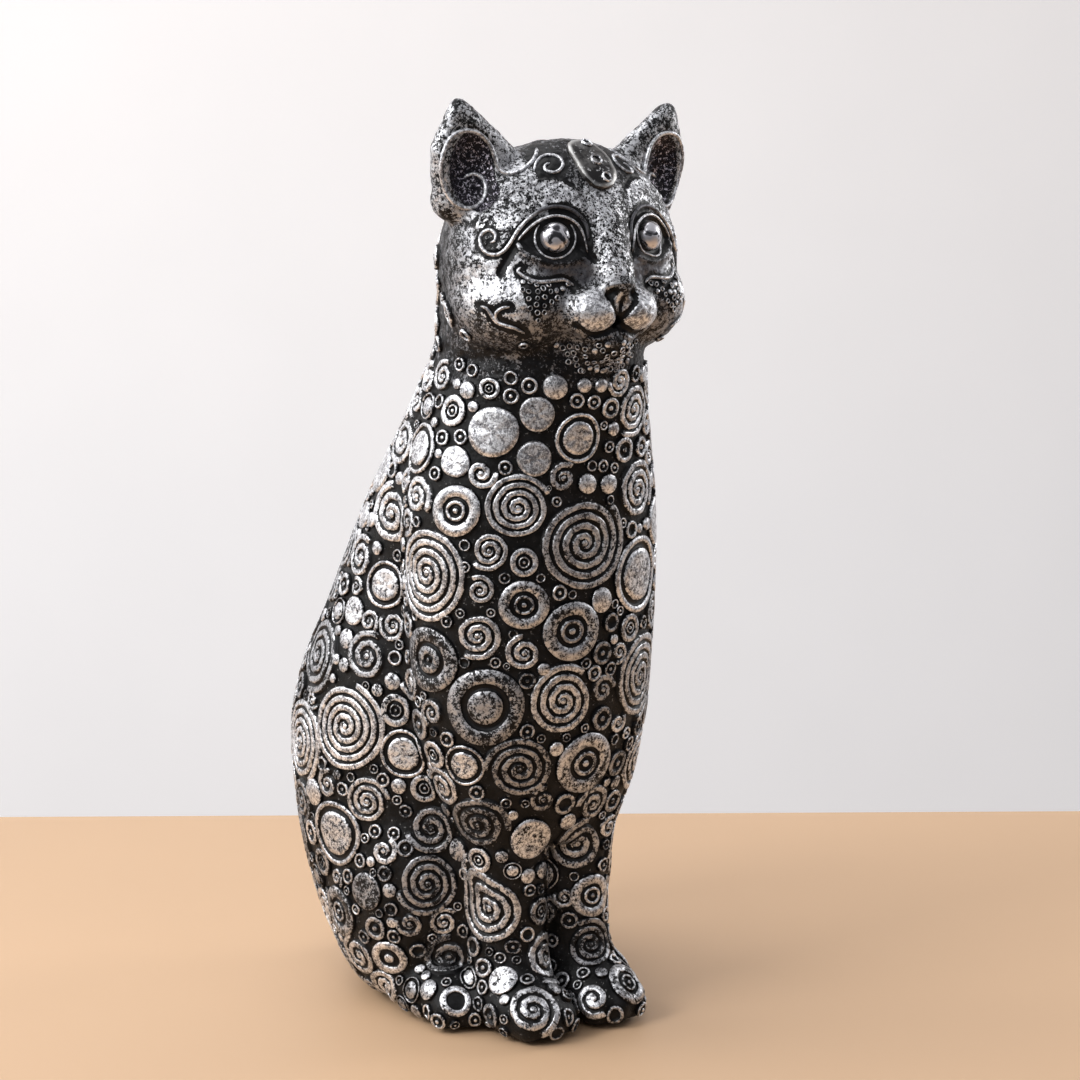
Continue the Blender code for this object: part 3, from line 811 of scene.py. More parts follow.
BROW = ((-24.5, 3.5), (-22.9, 6.5), (-17.7, 11.0), (-11.9, 14.8), (-5.5, 17.1), (1.0, 17.4), (6.0, 14.5))
MOUTH = ((5.5, -26.5), (9.0, -29.0), (12.6, -30.0), (16.5, -28.4), (19.2, -26.1))
BEARD_PATCH = ((-11.6, -12.4), (-5.5, -14.6), (3.5, -14.0), (-1.0, -19.4), (-6.1, -24.8), (-9.7, -19.4))
CHIN_PATCH = ((-0.3, -32.9), (8.7, -33.5), (17.4, -31.9), (20.4, -41.3), (8.1, -41.8), (2.9, -38.1))
JAW_RINGS = ((-27.7, -29.7, 2.5), (-10.3, -32.4, 1.6))
PLATE_RINGS = ((9.4, 27.7, 2.1), (11.9, 22.9, 2.3), (15.0, 17.7, 2.0))
PLATE_HEIGHT = 282.0
PLATE_RADIUS = 8.8
NOSE_TOP = 245.2
NOSE_FOOT = 233.2
NOSTRIL = (4.3, 242.0)
BRIDGE = (9, 246, 277)  # half width, foot and top of the pitted bridge of the nose
MUZZLE_SPOT = (7.5, 237.0)
MUZZLE_RADIUS = 11
NOSE_LINES = (  # points (sideways, up), width, lift and silver of the wing, the slit and the rim
    (((5.6, 241.5), (4.0, 238.5), (1.0, 234.6), (0, NOSE_FOOT)), 0.75, -0.6, 0.0),
    (((0, 240.5), (0, NOSE_FOOT - 1)), 0.5, -0.7, 0.0),
    (((0, NOSE_TOP), (3, NOSE_TOP - 0.2), (5.6, 243.9)), 0.6, 0.35, 1.0),
)
WIRE_RADIUS = 0.62
WIRES = (  # piece, line and settings
    ("ear_wires", EAR_WIRE, {"radius": 0.7, "smoothing": 10}),
    ("face_wires", LID_CURL, {"radius": 0.6, "dulled": 1.0}),
    ("face_wires", UPPER_LID, {"radius": 0.42, "smoothing": 8}),
    ("face_wires", EYE_RING, {"radius": 0.33, "smoothing": 3, "tone": 0.6}),
    ("face_wires", UNDER_EYE, {}),
    ("face_wires", JAW, {}),
    ("face_wires", JAW_HOOK, {}),
    ("brow_wires", BROW_CURL, {"radius": 0.55}),
)
WIRE_SHADOWS = (
    (EAR_WIRE, 1.5), (LID_CURL, 1.1), (UNDER_EYE, 1.2), (JAW, 1.4), (JAW_HOOK, 1.4), (BROW_CURL, 1.5),
)
POLISHED = 1.22  # the silver on wires and rings, where none of the black shows through
EYE_SINK = 1.5  # how deep the skin between the lids is pressed in
NECK_FADE = (232, 12)  # the neck's duller silver ends at this level, and fades over this height
CROWN_FRONT = (-46, 14)  # the plainer silver of the crown starts at this depth, and fades in
CROWN_LUMPS = (0.5, 4.5)  # height and size
LUMPS = ((0.16, 1.1), (0.2, 2.6))  # the same all over the head
GRANULE_TRIES = 2500
FELT_NAP = (0.12, 0.12, 0.06)


class Cheek:
    """One side of the face, side -1 for the cat's right and 1 for its left."""

    def __init__(self, side, skin):
        low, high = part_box("eye_left" if side > 0 else "eye_right")
        turn, lift = math.radians(side * EYE_TURN), math.radians(EYE_LIFT)
        level = np.array([math.sin(turn), -math.cos(turn), 0.0])
        self.side, self.skin = side, skin
        self.gaze = level * math.cos(lift) + UP * math.sin(lift)
        self.origin = np.array((low + high) / 2) / MM + EYE_FRONT * self.gaze
        _, right, forward = view_axes()
        mirror = np.array([-side, 1.0, 1.0])
        self.across, self.away = right * mirror, forward * mirror

    def flat(self, points):
        """Coordinates on the cheek's plane."""
        offset = points - self.origin
        return np.stack([offset @ self.across, offset[:, 2]], 1)

    def landed(self, across, up):
        """Where a level line through the plane lands on the skin."""
        start = self.origin + across * self.across + UP * up - 150 * self.away
        return self.skin.thrown(start, self.away)


def gap_to_line(flat, line):
    """Distance of each flat point from a smooth line."""
    path = catmull_rom(line, 4)
    gap = np.full(len(flat), FAR)
    for a, b in zip(path, path[1:]):
        run = b - a
        share = np.clip((flat - a) @ run / max(run @ run, 1e-9), 0, 1)
        gap = np.minimum(gap, np.linalg.norm(flat - a - share[:, None] * run, axis=1))
    return gap


def inside(flat, corners):
    """Which flat points lie inside a closed outline."""
    corners = list(corners)
    result = np.zeros(len(flat), bool)
    x, y = flat[:, 0], flat[:, 1]
    for (ax, ay), (bx, by) in zip(corners, corners[1:] + corners[:1]):
        crosses = (ay > y) != (by > y)
        at = ax + (y - ay) / (by - ay if by != ay else 1e-9) * (bx - ax)
        result ^= crosses & (x < at)
    return result


def bell(gap, width):
    return np.exp(-((gap / width) ** 2))


def lumps(points, size):
    """Smooth random numbers from -1 to 1 that change over about `size` millimetres."""
    cell = np.floor(points / size).astype(np.int64)
    share = smoothstep(points / size - cell)
    total = np.zeros(len(points))
    for corner in np.ndindex(2, 2, 2):
        x, y, z = (cell + corner).T
        mixed = (x * 73856093) ^ (y * 19349663) ^ (z * 83492791)
        mixed = (mixed ^ (mixed >> 13)) * 60493 & 0xFFFF
        weight = np.prod(np.where(corner, share, 1 - share), axis=1)
        total += weight * (mixed / 32767.5 - 1)
    return total


class HeadWork:
    """The head's skin while it is being tooled: how far each point is pushed out, and its paint."""

    def __init__(self, skin):
        self.skin = skin
        count = len(skin.points)
        self.lift = np.zeros(count)
        self.silver = np.full(count, 0.95)
        self.tone = np.full(count, 0.13)
        self.pits = np.zeros(count)
        self.glitter = np.zeros(count)

    def stroke(self, gap, width, lift, silver, reach=1.0):
        """Presses or raises a line and paints it; reach masks the points it may touch."""
        share = bell(gap, width) * reach
        self.lift += lift * share
        self.silver += (silver - self.silver) * np.clip(share * 1.6, 0, 1)

    def colour(self, share, **paint):
        for name, value in paint.items():
            field = getattr(self, name)
            field += (value - field) * share


class CheekTool:
    """Works on the head's skin by places on one cheek's plane."""

    def __init__(self, work, cheek):
        points = work.skin.points
        own_side = rise(points[:, 0] * cheek.side, -3, 4)
        self.work = work
        self.flat = cheek.flat(points)
        self.front = smoothstep((work.skin.normals @ -cheek.away) * 3) * own_side

    def line(self, line, width, lift, silver, reach=1.0):
        self.work.stroke(gap_to_line(self.flat, line), width, lift, silver, self.front * reach)

    def colour(self, share, **paint):
        self.work.colour(share * self.front, **paint)

    def spot(self, middle, radius, fade, stretch=1.0):
        """1 in a round spot that fades out at its radius; stretch above 1 makes it lower."""
        return fall(np.linalg.norm((self.flat - middle) * (1, stretch), axis=1), radius, fade)


def shade_cheek(tool):
    below_eye = tool.spot((4, -9), 13, 6, stretch=1.7)
    tool.colour(below_eye, silver=1.35, tone=-0.02)
    cheekbone = tool.spot((-17, -15), 15, 8)
    tool.colour(cheekbone, silver=0.88, tone=0.62)


def tool_brow(tool):
    """The pitted brow with its wavy raised edge, and the smoother forehead above it."""
    flat = tool.flat
    zone = inside(flat, [*BROW, (10, 5), *LID_CURL[3:11], (-24, -1)])
    tool.colour(zone, silver=0.9, tone=0.5, pits=1.0)
    wavy = gap_to_line(flat, BROW) + 0.25 * np.sin(flat[:, 0] * 2.4)
    tool.work.stroke(wavy, width=0.55, lift=0.5, silver=1.0, reach=tool.front)
    tool.line(np.array(BROW) + (-0.7, 0.9), width=0.55, lift=-0.35, silver=0.05)
    forehead = rise(flat[:, 1], 16, 4) * (flat[:, 0] > -16)
    tool.colour(forehead, silver=0.92, tone=0.05)


def tool_mouth(tool):
    """The dark ground of the beard, the line under the eye that bounds it, the mouth and the lip."""
    tool.colour(inside(tool.flat, BEARD_PATCH), silver=0.2, tone=0.3)
    tool.line(np.array(UNDER_EYE)[2:] - (0, 0.9), width=0.6, lift=-0.4, silver=0.1)
    tool.line(MOUTH, width=0.75, lift=-0.9, silver=0.0)
    tool.line(np.array(MOUTH)[:4] - (0, 1.3), width=0.7, lift=0.5, silver=1.0)


def tool_eye(tool):
    """Sinks the almond between the lids, presses the liner round it and raises the lids."""
    almond = catmull_rom(UPPER_LID, 4)[:-1].tolist() + catmull_rom(LOWER_LID, 4)[::-1].tolist()[:-1]
    pool = inside(tool.flat, almond)
    edge = np.minimum(gap_to_line(tool.flat, UPPER_LID), gap_to_line(tool.flat, LOWER_LID))
    tool.work.lift -= EYE_SINK * pool * tool.front * smoothstep(edge / 1.6)
    tool.colour(pool, silver=0.05)
    tool.line(LINER, width=1.05, lift=-1.0, silver=0.0)
    tool.line(UPPER_LID, width=0.42, lift=0.7, silver=0.5)
    tool.line(LOWER_LID, width=0.6, lift=-0.2, silver=0.0)
    outer = fall(tool.flat[:, 0], 9, 2)
    tool.line(np.array(LOWER_LID) - (0, 1.2), width=0.9, lift=0.7, silver=1.0, reach=outer)


def blacken_wires(tool):
    """Leaves the black showing on both sides of each wire."""
    for line, width in WIRE_SHADOWS:
        tool.line(line, width, lift=-0.25, silver=0.1, reach=0.85)


def tool_nose(work):
    points = work.skin.points
    front = fall(points[:, 1], -60, 4)
    x, z = np.abs(points[:, 0]), points[:, 2]
    flat = np.stack([x, z], 1)
    half_width, foot, top = BRIDGE
    bridge = fall(x, half_width, 3) * rise(z, foot, 3) * fall(z, top, 3) * (points[:, 1] < -45)
    work.colour(bridge, silver=0.86, tone=0.5, pits=1.0)
    nostril = np.linalg.norm((flat - NOSTRIL) * (1, 1.15), axis=1)
    work.stroke(nostril, width=1.7, lift=-1.6, silver=0.0, reach=front)
    for line, width, lift, silver in NOSE_LINES:
        work.stroke(gap_to_line(flat, line), width, lift, silver, front)
    muzzle = fall(np.linalg.norm((flat - MUZZLE_SPOT) * (1, 1.3), axis=1), MUZZLE_RADIUS, 5) * front
    muzzle *= 1 - bell(gap_to_line(flat, ((0, foot), (0, NOSE_FOOT - 2))), 1.6)
    work.colour(muzzle * (work.silver > 0.5), silver=0.97, tone=0.75)


def relaxed(points, triangles, share, rounds):
    """Evens out the points where share is 1 by moving them towards the middle of their neighbours."""
    a = triangles[:, [0, 1, 2]].ravel()
    b = triangles[:, [1, 2, 0]].ravel()
    count = np.maximum(np.bincount(a, minlength=len(points)), 1)[:, None]
    for _ in range(rounds):
        total = np.stack([np.bincount(a, points[b, k], len(points)) for k in range(3)], 1)
        points = points + share[:, None] * 0.6 * (total / count - points)
    return points


def tool_ears(work, rng):
    """Scoops the ear hollows by pushing their skin back to the far wall of an ellipsoid."""
    points = work.skin.points
    for side in (-1, 1):
        c, s = math.cos(side * EAR_HOLLOW_TURN), math.sin(side * EAR_HOLLOW_TURN)
        axes = np.array([[c, s, 0], [-s, c, 0], [0, 0, 1]])
        centre = np.array([side * EAR_HOLLOW[0], EAR_HOLLOW[1] + SET_BACK, EAR_HOLLOW[2]])
        local = (points - centre) @ axes.T / EAR_HOLLOW_RADII
        rim = fall(np.linalg.norm(local * (1, 0.6, 1), axis=1), 1.5, 0.2)
        room = 1 - local[:, 0] ** 2 - local[:, 2] ** 2
        back = np.sqrt(np.maximum(room, 0))
        pushed = (room > 0) & (local[:, 1] < back) & (local[:, 1] > -2)
        depth = np.where(pushed, (back - local[:, 1]) * EAR_HOLLOW_RADII[1], 0)
        points += depth[:, None] * axes[1]
        points[:] = relaxed(points, work.skin.triangles, rim, 6)
        floor = pushed * smoothstep(depth / 1.5)
        work.lift += floor * rng.uniform(-0.35, 0.35, len(points))
        work.colour(floor, silver=0.25, tone=0.5)
        work.glitter = np.maximum(work.glitter, floor)
        ear = rise(points[:, 2], 262, 5) * (points[:, 0] * side > 20) * (1 - floor)
        work.colour(ear, silver=0.9, tone=0.3)


def tool_head(skin, rng):
    """Tools the head's skin and returns it with its paint."""
    work = HeadWork(skin)
    neck = fall(skin.points[:, 2], *NECK_FADE)
    work.colour(neck, silver=0.86, tone=0.05)
    nape = smoothstep(nape_limits(skin.points, skin.normals) / 3)
    crown = rise(skin.points[:, 1], *CROWN_FRONT)
    work.colour(crown, silver=0.92, tone=0.0)
    height, size = CROWN_LUMPS
    work.lift += height * crown * (1 - nape) * lumps(skin.points, size)
    work.colour(nape, silver=0.3, tone=0.1)
    for side in (-1, 1):
        tool = CheekTool(work, Cheek(side, skin))
        for task in (shade_cheek, tool_brow, tool_mouth, tool_eye, blacken_wires):
            task(tool)
    tool_nose(work)
    tool_ears(work, rng)
    rough = 1 - rise(work.tone, 0.8, 0.12) * (1 - work.pits)
    work.lift += rough * sum(height * lumps(skin.points, size) for height, size in LUMPS)
    work.lift += work.pits * rng.uniform(-0.2, 0.1, len(skin.points))
    points = skin.points + skin.normals * work.lift[:, None]
    return points, {"relief": work.silver, "tone": work.tone, "pits": work.pits, "glitter": work.glitter}


def sweep(path, normals, radius, columns=8):
    """A closed round wire along a path, half bedded in the skin, with rounded and thinner ends."""
    tangent = unit(np.gradient(path, axis=0))
    up = unit(normals - tangent * (normals * tangent).sum(1, keepdims=True))
    side = np.cross(up, tangent)
    run = np.concatenate([[0], np.cumsum(np.linalg.norm(np.diff(path, axis=0), axis=1))])
    ends = np.minimum(run, run[-1] - run)
    rounded = np.sqrt(np.clip(ends / (2 * radius) + 0.06, 0, 1))
    width = radius * rounded * (0.72 + 0.28 * smoothstep(ends / 6))
    angles = circle(columns)
    ring = np.cos(angles)[None, :, None] * up[:, None] * 0.9 + np.sin(angles)[None, :, None] * side[:, None]
    middle = path + up * 0.35 * radius
    rows = middle[:, None] + ring * width[:, None, None]
    points = np.concatenate([middle[:1], rows.reshape(-1, 3), middle[-1:]])
    return points, polar_triangles(len(path), columns)


def lay_wire(batch, cheek, line, radius=WIRE_RADIUS, tone=0.95, smoothing=4, dulled=0.0):
    """Lays a wire along a line of the face; it may be duller towards the nose."""
    flat = catmull_rom(line, 6)
    laid = [cheek.landed(across, up) for across, up in flat]
    path, normals = (np.array(rows) for rows in zip(*laid))
    for _ in range(smoothing):
        for rows in (path, normals):
            rows[1:-1] = (rows[:-2] + 2 * rows[1:-1] + rows[2:]) / 4
    points, triangles = sweep(path, unit(normals), radius)
    shine = tone - dulled * rise(flat[:, 0], -11, 6)
    columns = (len(points) - 2) // len(path)
    shine = np.concatenate([shine[:1], np.repeat(shine, columns), shine[-1:]])
    batch.add(points, triangles, np.full(len(points), POLISHED), shine)


def lay_ring(batch, skin, place, radius, kind, rng, tone=0.85, raised=0.0):
    where, normal = place
    forward = rng.normal(size=3) if kind != "plate" else np.array([0.0, -1.0, 0.0])
    points, triangles, relief = button(skin, (where, normal, radius, kind, 0, forward), rng)
    batch.add(points + normal * raised, triangles, relief * POLISHED, tone)


def granulated(batch, cheek, patch, radius, rng):
    """Fills a patch of the face with small rings."""
    tries = rng.uniform(np.min(patch, 0), np.max(patch, 0), (GRANULE_TRIES, 2))
    kept = []
    for spot in tries[inside(tries, patch)]:
        if all(np.linalg.norm(spot - other) > 1.9 * radius for other in kept):
            kept.append(spot)
    for spot in kept:
        size = radius * rng.uniform(0.85, 1.1)
        kind = "loop" if rng.random() < 0.75 else "plain"
        lay_ring(batch, cheek.skin, cheek.landed(*spot), size, kind, rng, rng.uniform(0.5, 0.95))


def build_head(finish, dome, rng):
    skin = Skin.of(head_mesh())
    points, paint = tool_head(skin, rng)
    tooled = build_piece("head_skin", points, skin.triangles, finish, "cast_shell", "head_shell", **paint)
    skin = Skin(points, skin.triangles, read(tooled.data.vertices, "normal", 3))
    discs = strewn(skin, [], rng, nape_limits, SIZES[1:], NAPE_TRIES)
    build_relief(skin, finish, discs, rng, lambda centre: "relief_nape")
    rings, wires = Batch(), {}
    for side, name in ((-1, "right"), (1, "left")):
        cheek = Cheek(side, skin)
        for piece, line, settings in WIRES:
            lay_wire(wires.setdefault(piece, Batch()), cheek, line, **settings)
        granulated(rings, cheek, BEARD_PATCH, 0.95, rng)
        granulated(rings, cheek, CHIN_PATCH, 1.05, rng)
        for across, up, radius in JAW_RINGS:
            lay_ring(rings, skin, cheek.landed(across, up), radius, "loop", rng)
        build_eye("dome_" + name, "eye_" + name, cheek, dome)
    plate = Batch()
    place = skin.thrown(np.array([0.0, -300.0, PLATE_HEIGHT]), np.array([0.0, 1.0, 0.0]))
    lay_ring(plate, skin, place, PLATE_RADIUS, "plate", rng, tone=0.1)
    plate.build("brow_plate", smoked_plate())
    near = Cheek(-1, skin)
    for across, up, radius in PLATE_RINGS:
        lay_ring(rings, skin, near.landed(across, up), radius, "loop", rng, raised=0.9)
    rings.build("head_rings", finish)
    for name, batch in wires.items():
        batch.build(name, finish)


# ---------------------------------------------------------------- turned pieces


def turned(centre, axis, outline, columns=48):
    """A closed shape turned about an axis; the outline's rows of radius and height start and end on it."""
    angles = circle(columns)
    right = unit(np.cross(axis, np.array([0.0, 1.0, 0.3])))
    around = np.cos(angles)[:, None] * right + np.sin(angles)[:, None] * np.cross(axis, right)
    rows = np.array([centre + around * r + axis * h for r, h in outline[1:-1]])
    top, bottom = centre + axis * outline[0][1], centre + axis * outline[-1][1]
    points = np.concatenate([top[None], rows.reshape(-1, 3), bottom[None]])
    return points, polar_triangles(len(rows), columns)


def softened(outline, rounds=2):
    """Rounds the corners of an outline, leaving its two ends where they are."""
    for _ in range(rounds):
        near, far = outline[:-1], outline[1:]
        cut = np.stack([0.75 * near + 0.25 * far, 0.25 * near + 0.75 * far], 1).reshape(-1, 2)
        outline = np.concatenate([outline[:1], cut[1:-1], outline[-1:]])
    return outline


def round_node(node):
    """The middle of an upright round node's underside, its radius and its height."""
    low, high = (np.array(corner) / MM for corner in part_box(node))
    return np.array([*(low + high)[:2] / 2, low[2]]), (high[0] - low[0]) / 2, high[2] - low[2]


def build_eye(name, node, cheek, finish):
    """A cabochon with a rounded foot, set in the eye's recess."""
    where, _ = cheek.landed(*EYE_SHIFT)
    outline = [(EYE_RADIUS * math.cos(a), EYE_DOME * math.sin(a)) for a in np.linspace(math.pi / 2, 0, 13)]
    outline += [(EYE_RADIUS, -1.2), (EYE_RADIUS - 0.6, -1.8), (0, -1.8)]
    points, triangles = turned(where + EYE_PROUD * cheek.gaze, cheek.gaze, outline)
    build_piece(name, points, triangles, finish, "eye_dome", node)


def build_stopper():
    """The soft stopper: a flange under the body, a stem and a lip that snaps over the floor."""
    middle, flange, tall = round_node("vent_plug")
    stem = flange - 3.0
    outline = np.array((
        (0, tall), (stem - 2, tall), (stem + 1.4, tall - 2), (stem + 1.4, tall - 3.1), (stem, tall - 3.3),
        (stem, 1.0), (stem + 2.8, 0.9), (flange, 0.5), (flange - 0.4, 0), (5, 0), (4.2, 0.5), (0, 0.5),
    ))
    points, triangles = turned(middle, UP, softened(outline))
    build_piece("stopper", points, triangles, rubber(), "stopper", "vent_plug")


def build_pads(rng):
    """Felt discs with soft edges and an uneven nap."""
    finish = felt()
    for corner in ("front_left", "front_right", "rear_left", "rear_right"):
        middle, radius, thick = round_node("felt_pad_" + corner)
        across = np.linspace(0, radius - 0.3, 7)[1:]
        outline = [(0, thick)] + [(r, thick) for r in across]
        outline += [(radius - 0.1, thick - 0.2), (radius, thick / 2), (radius - 0.1, 0.2)]
        outline += [(r, 0) for r in across[::-1]] + [(0, 0)]
        points, triangles = turned(middle, UP, outline, 56)
        points += rng.uniform(-1, 1, points.shape) * FELT_NAP
        points[:, 2] = np.clip(points[:, 2], middle[2], middle[2] + thick)
        build_piece("nap_" + corner, points, triangles, finish, "felt", "felt_pad_" + corner)


# ---------------------------------------------------------------- finishes

BRIGHT_SILVER = (0.94, 0.95, 0.98, 1)
WORN_SILVER = (0.22, 0.22, 0.235, 1)
DULL_SILVER = (0.075, 0.074, 0.084, 1)
BLACK = (0.002, 0.002, 0.0025, 1)
SOFT_BLACK = (0.013, 0.013, 0.015, 1)
EAR_BLACK = (0.006, 0.005, 0.009, 1)
GLITTER = (0.78, 0.74, 0.84, 1)


def grey(level):
    return (level, level, level, 1)


class Graph:
    """Short ways to build the node tree of a material or a world."""

    def __init__(self, owner):
        owner.use_nodes = True
        self.owner = owner
        self.tree = owner.node_tree

    def add(self, kind, inputs=None, **settings):
        made = self.tree.nodes.new("ShaderNode" + kind)
        for key, value in settings.items():
            setattr(made, key, value)
        for key, value in (inputs or {}).items():
            self.set(made.inputs[key], value)
        return made

    def set(self, socket, value):
        if isinstance(value, bpy.types.NodeSocket):
            self.tree.links.new(value, socket)
        else:
            socket.default_value = value

    def finish(self, node, inputs):
        """Sets inputs of a node that the tree started with, and returns what the tree belongs to."""
        for key, value in inputs.items():
            self.set(self.tree.nodes[node].inputs[key], value)
        return self.owner

    def math(self, operation, a, b=0.0):
        return self.add("Math", {0: a, 1: b}, operation=operation).outputs[0]

    def total(self, *terms):
        """Sum of (value, weight) pairs."""
        result = 0.0
        for value, weight in terms:
            result = self.math("ADD", self.math("MULTIPLY", value, weight), result)
        return result

    def painted(self, name):
        return self.add("Attribute", attribute_name=name).outputs["Fac"]

    def noise(self, size, detail=3.0, roughness=0.6, distortion=0.0, stretch=1.0):
        """Noise whose blotches are about `size` millimetres across, and taller when stretch is below 1."""
        where = self.add("TexCoord").outputs["Object"]
        where = self.add("Mapping", {"Vector": where, "Scale": (1, 1, stretch)}).outputs["Vector"]
        inputs = {"Vector": where, "Scale": 1 / (size * MM * 2), "Detail": detail, "Roughness": roughness,
                  "Distortion": distortion}
        return self.add("TexNoise", inputs).outputs["Fac"]

    def cells(self, size, output):
        """A number for each place in a honeycomb of cells `size` millimetres across."""
        where = self.add("TexCoord").outputs["Object"]
        return self.add("TexVoronoi", {"Vector": where, "Scale": 1 / (size * MM)}).outputs[output]

    def ramp(self, value, low, high, start=0.0, end=1.0, bend="SMOOTHSTEP"):
        inputs = {"Value": value, "From Min": low, "From Max": high, "To Min": start, "To Max": end}
        return self.add("MapRange", inputs, interpolation_type=bend).outputs["Result"]

    def mix(self, share, first, second):
        made = self.add("Mix", data_type="RGBA")
        self.set(made.inputs["Factor"], share)
        self.set(made.inputs["A"], first)
        self.set(made.inputs["B"], second)
        return made.outputs["Result"]

    def mix_number(self, share, first, second):
        return self.add("Mix", {"Factor": share, "A": first, "B": second}).outputs["Result"]

    def bump(self, height, strength, distance):
        inputs = {"Height": height, "Strength": strength, "Distance": distance * MM}
        return self.add("Bump", inputs).outputs["Normal"]


def brushed_silver(name, gloss):
    """Silver rubbed over black: bright on the ridges, black in the grooves, speckled where the brush slid."""
    g = Graph(bpy.data.materials.new(name))
    grain = g.noise(0.22, detail=2.0, roughness=0.7)
    speck = g.noise(0.55, detail=4.0, roughness=0.75)
    smudge = g.noise(1.7, roughness=0.65, distortion=0.5)
    patch = g.noise(4.5, distortion=0.6, stretch=0.45)
    relief, tone, pits, glitter = (g.painted(key) for key in ("relief", "tone", "pits", "glitter"))
    pit = g.math("MULTIPLY", g.ramp(g.cells(0.95, "Distance"), 0.36, 0.24), pits)
    cover = g.total((relief, 1.0), (grain, 0.5), (speck, 1.5), (smudge, 0.7), (patch, 0.7), (tone, 0.5),
                    (pit, -0.9))
    worn = g.ramp(g.total((speck, 0.5), (smudge, 0.25), (grain, 0.25)), 0.44, 0.56)
    bright = g.mix(worn, WORN_SILVER, BRIGHT_SILVER)
    # tone sets how bright or dull the silver is; on the body's upper discs it also carries a painted
    # highlight
    bright = g.mix(g.ramp(tone, -0.2, 0.65), DULL_SILVER, bright)
    dark = g.mix(g.ramp(speck, 0.45, 0.75), BLACK, SOFT_BLACK)
    spark = g.math("MULTIPLY", g.ramp(g.total((speck, 0.7), (grain, 0.3)), 0.54, 0.58), glitter)
    silver = g.math("MULTIPLY", g.ramp(cover, 2.65, 2.83), g.math("SUBTRACT", 1.0, glitter))
    base = g.mix(glitter, g.mix(silver, dark, bright), EAR_BLACK)
    metal = g.math("MAXIMUM", silver, spark)
    facets = g.math("MULTIPLY", g.cells(0.42, "Color"), glitter)
    height = g.total((silver, 0.6), (grain, 0.7), (speck, 0.9), (facets, 1.5))
    return g.finish("Principled BSDF", {
        "Base Color": g.mix(spark, base, GLITTER),
        "Metallic": g.math("MULTIPLY", metal, 0.95),
        "Specular IOR Level": 0.22,
        "Roughness": g.mix_number(metal, 0.42, g.ramp(grain, 0.3, 0.7, *gloss)),
        "Normal": g.bump(height, 0.7, 0.14),
    })


def black_ground():
    """The black left between the discs, with a trace of silver where the brush caught it."""
    g = Graph(bpy.data.materials.new("black_ground"))
    speck = g.noise(0.7, detail=4.0, roughness=0.7)
    caught = g.ramp(speck, 0.62, 0.7)
    dark = g.mix(g.ramp(g.noise(2.0), 0.4, 0.7), grey(0.002), (0.010, 0.010, 0.011, 1))
    return g.finish("Principled BSDF", {
        "Base Color": g.mix(caught, dark, grey(0.30)),
        "Metallic": g.math("MULTIPLY", caught, 0.9),
        "Specular IOR Level": 0.2,
        "Roughness": g.ramp(speck, 0.3, 0.7, 0.35, 0.6),
        "Normal": g.bump(speck, 0.8, 0.3),
    })


def smoked_plate():
    """The smooth dark plate on the brow, silver only round its rim."""
    g = Graph(bpy.data.materials.new("smoked_plate"))
    patch = g.noise(2.2)
    rim = g.ramp(g.painted("relief"), 0.86 * POLISHED, 0.99 * POLISHED)
    body = g.mix(g.ramp(patch, 0.4, 0.65), (0.035, 0.033, 0.033, 1), (0.16, 0.155, 0.15, 1))
    body = g.mix(g.ramp(g.noise(0.9, roughness=0.7), 0.6, 0.66), body, grey(0.7))
    return g.finish("Principled BSDF", {
        "Base Color": g.mix(g.math("MULTIPLY", rim, 0.6), body, (0.7, 0.7, 0.69, 1)),
        "Metallic": 0.9,
        "Roughness": g.ramp(patch, 0.3, 0.7, 0.3, 0.5),
        "Normal": g.bump(g.noise(0.6), 0.4, 0.1),
    })


def glossy_dome():
    """The eyes: a dark glossy dome with lighter grey, rougher blotches."""
    g = Graph(bpy.data.materials.new("silver_dome"))
    light_blotch = g.ramp(g.noise(2.6, detail=2.0, roughness=0.5, distortion=1.8), 0.37, 0.52)
    return g.finish("Principled BSDF", {
        "Base Color": g.mix(light_blotch, (0.06, 0.058, 0.066, 1), (0.74, 0.73, 0.77, 1)),
        "Metallic": 0.9,
        "Roughness": g.mix_number(light_blotch, 0.12, 0.34),
        "Coat Weight": 0.3,
        "Normal": g.bump(light_blotch, 0.35, 0.1),
    })


def felt():
    g = Graph(bpy.data.materials.new("felt"))
    fibre = g.noise(0.25, detail=4.0, roughness=0.8, distortion=2.0)
    return g.finish("Principled BSDF", {
        "Base Color": g.mix(g.ramp(fibre, 0.35, 0.65), grey(0.012), grey(0.05)),
        "Roughness": 0.95,
        "Sheen Weight": 0.4,
        "Normal": g.bump(fibre, 0.9, 0.3),
    })


def rubber():
    g = Graph(bpy.data.materials.new("rubber"))
    bloom = g.noise(2.5)
    return g.finish("Principled BSDF", {
        "Base Color": g.mix(g.ramp(bloom, 0.4, 0.7), grey(0.02), grey(0.06)),
        "Roughness": g.ramp(bloom, 0.3, 0.7, 0.55, 0.75),
        "Normal": g.bump(g.noise(0.2), 0.3, 0.05),
    })


def plain_paint(name, colour, roughness, glow=0.0):
    g = Graph(bpy.data.materials.new(name))
    darker = [0.94 * c for c in colour]
    return g.finish("Principled BSDF", {
        "Base Color": g.mix(g.noise(60, detail=2.0), (*darker, 1), (*colour, 1)),
        "Roughness": roughness,
        "Emission Color": (*colour, 1),
        "Emission Strength": glow,
    })


# ---------------------------------------------------------------- stage, in metres

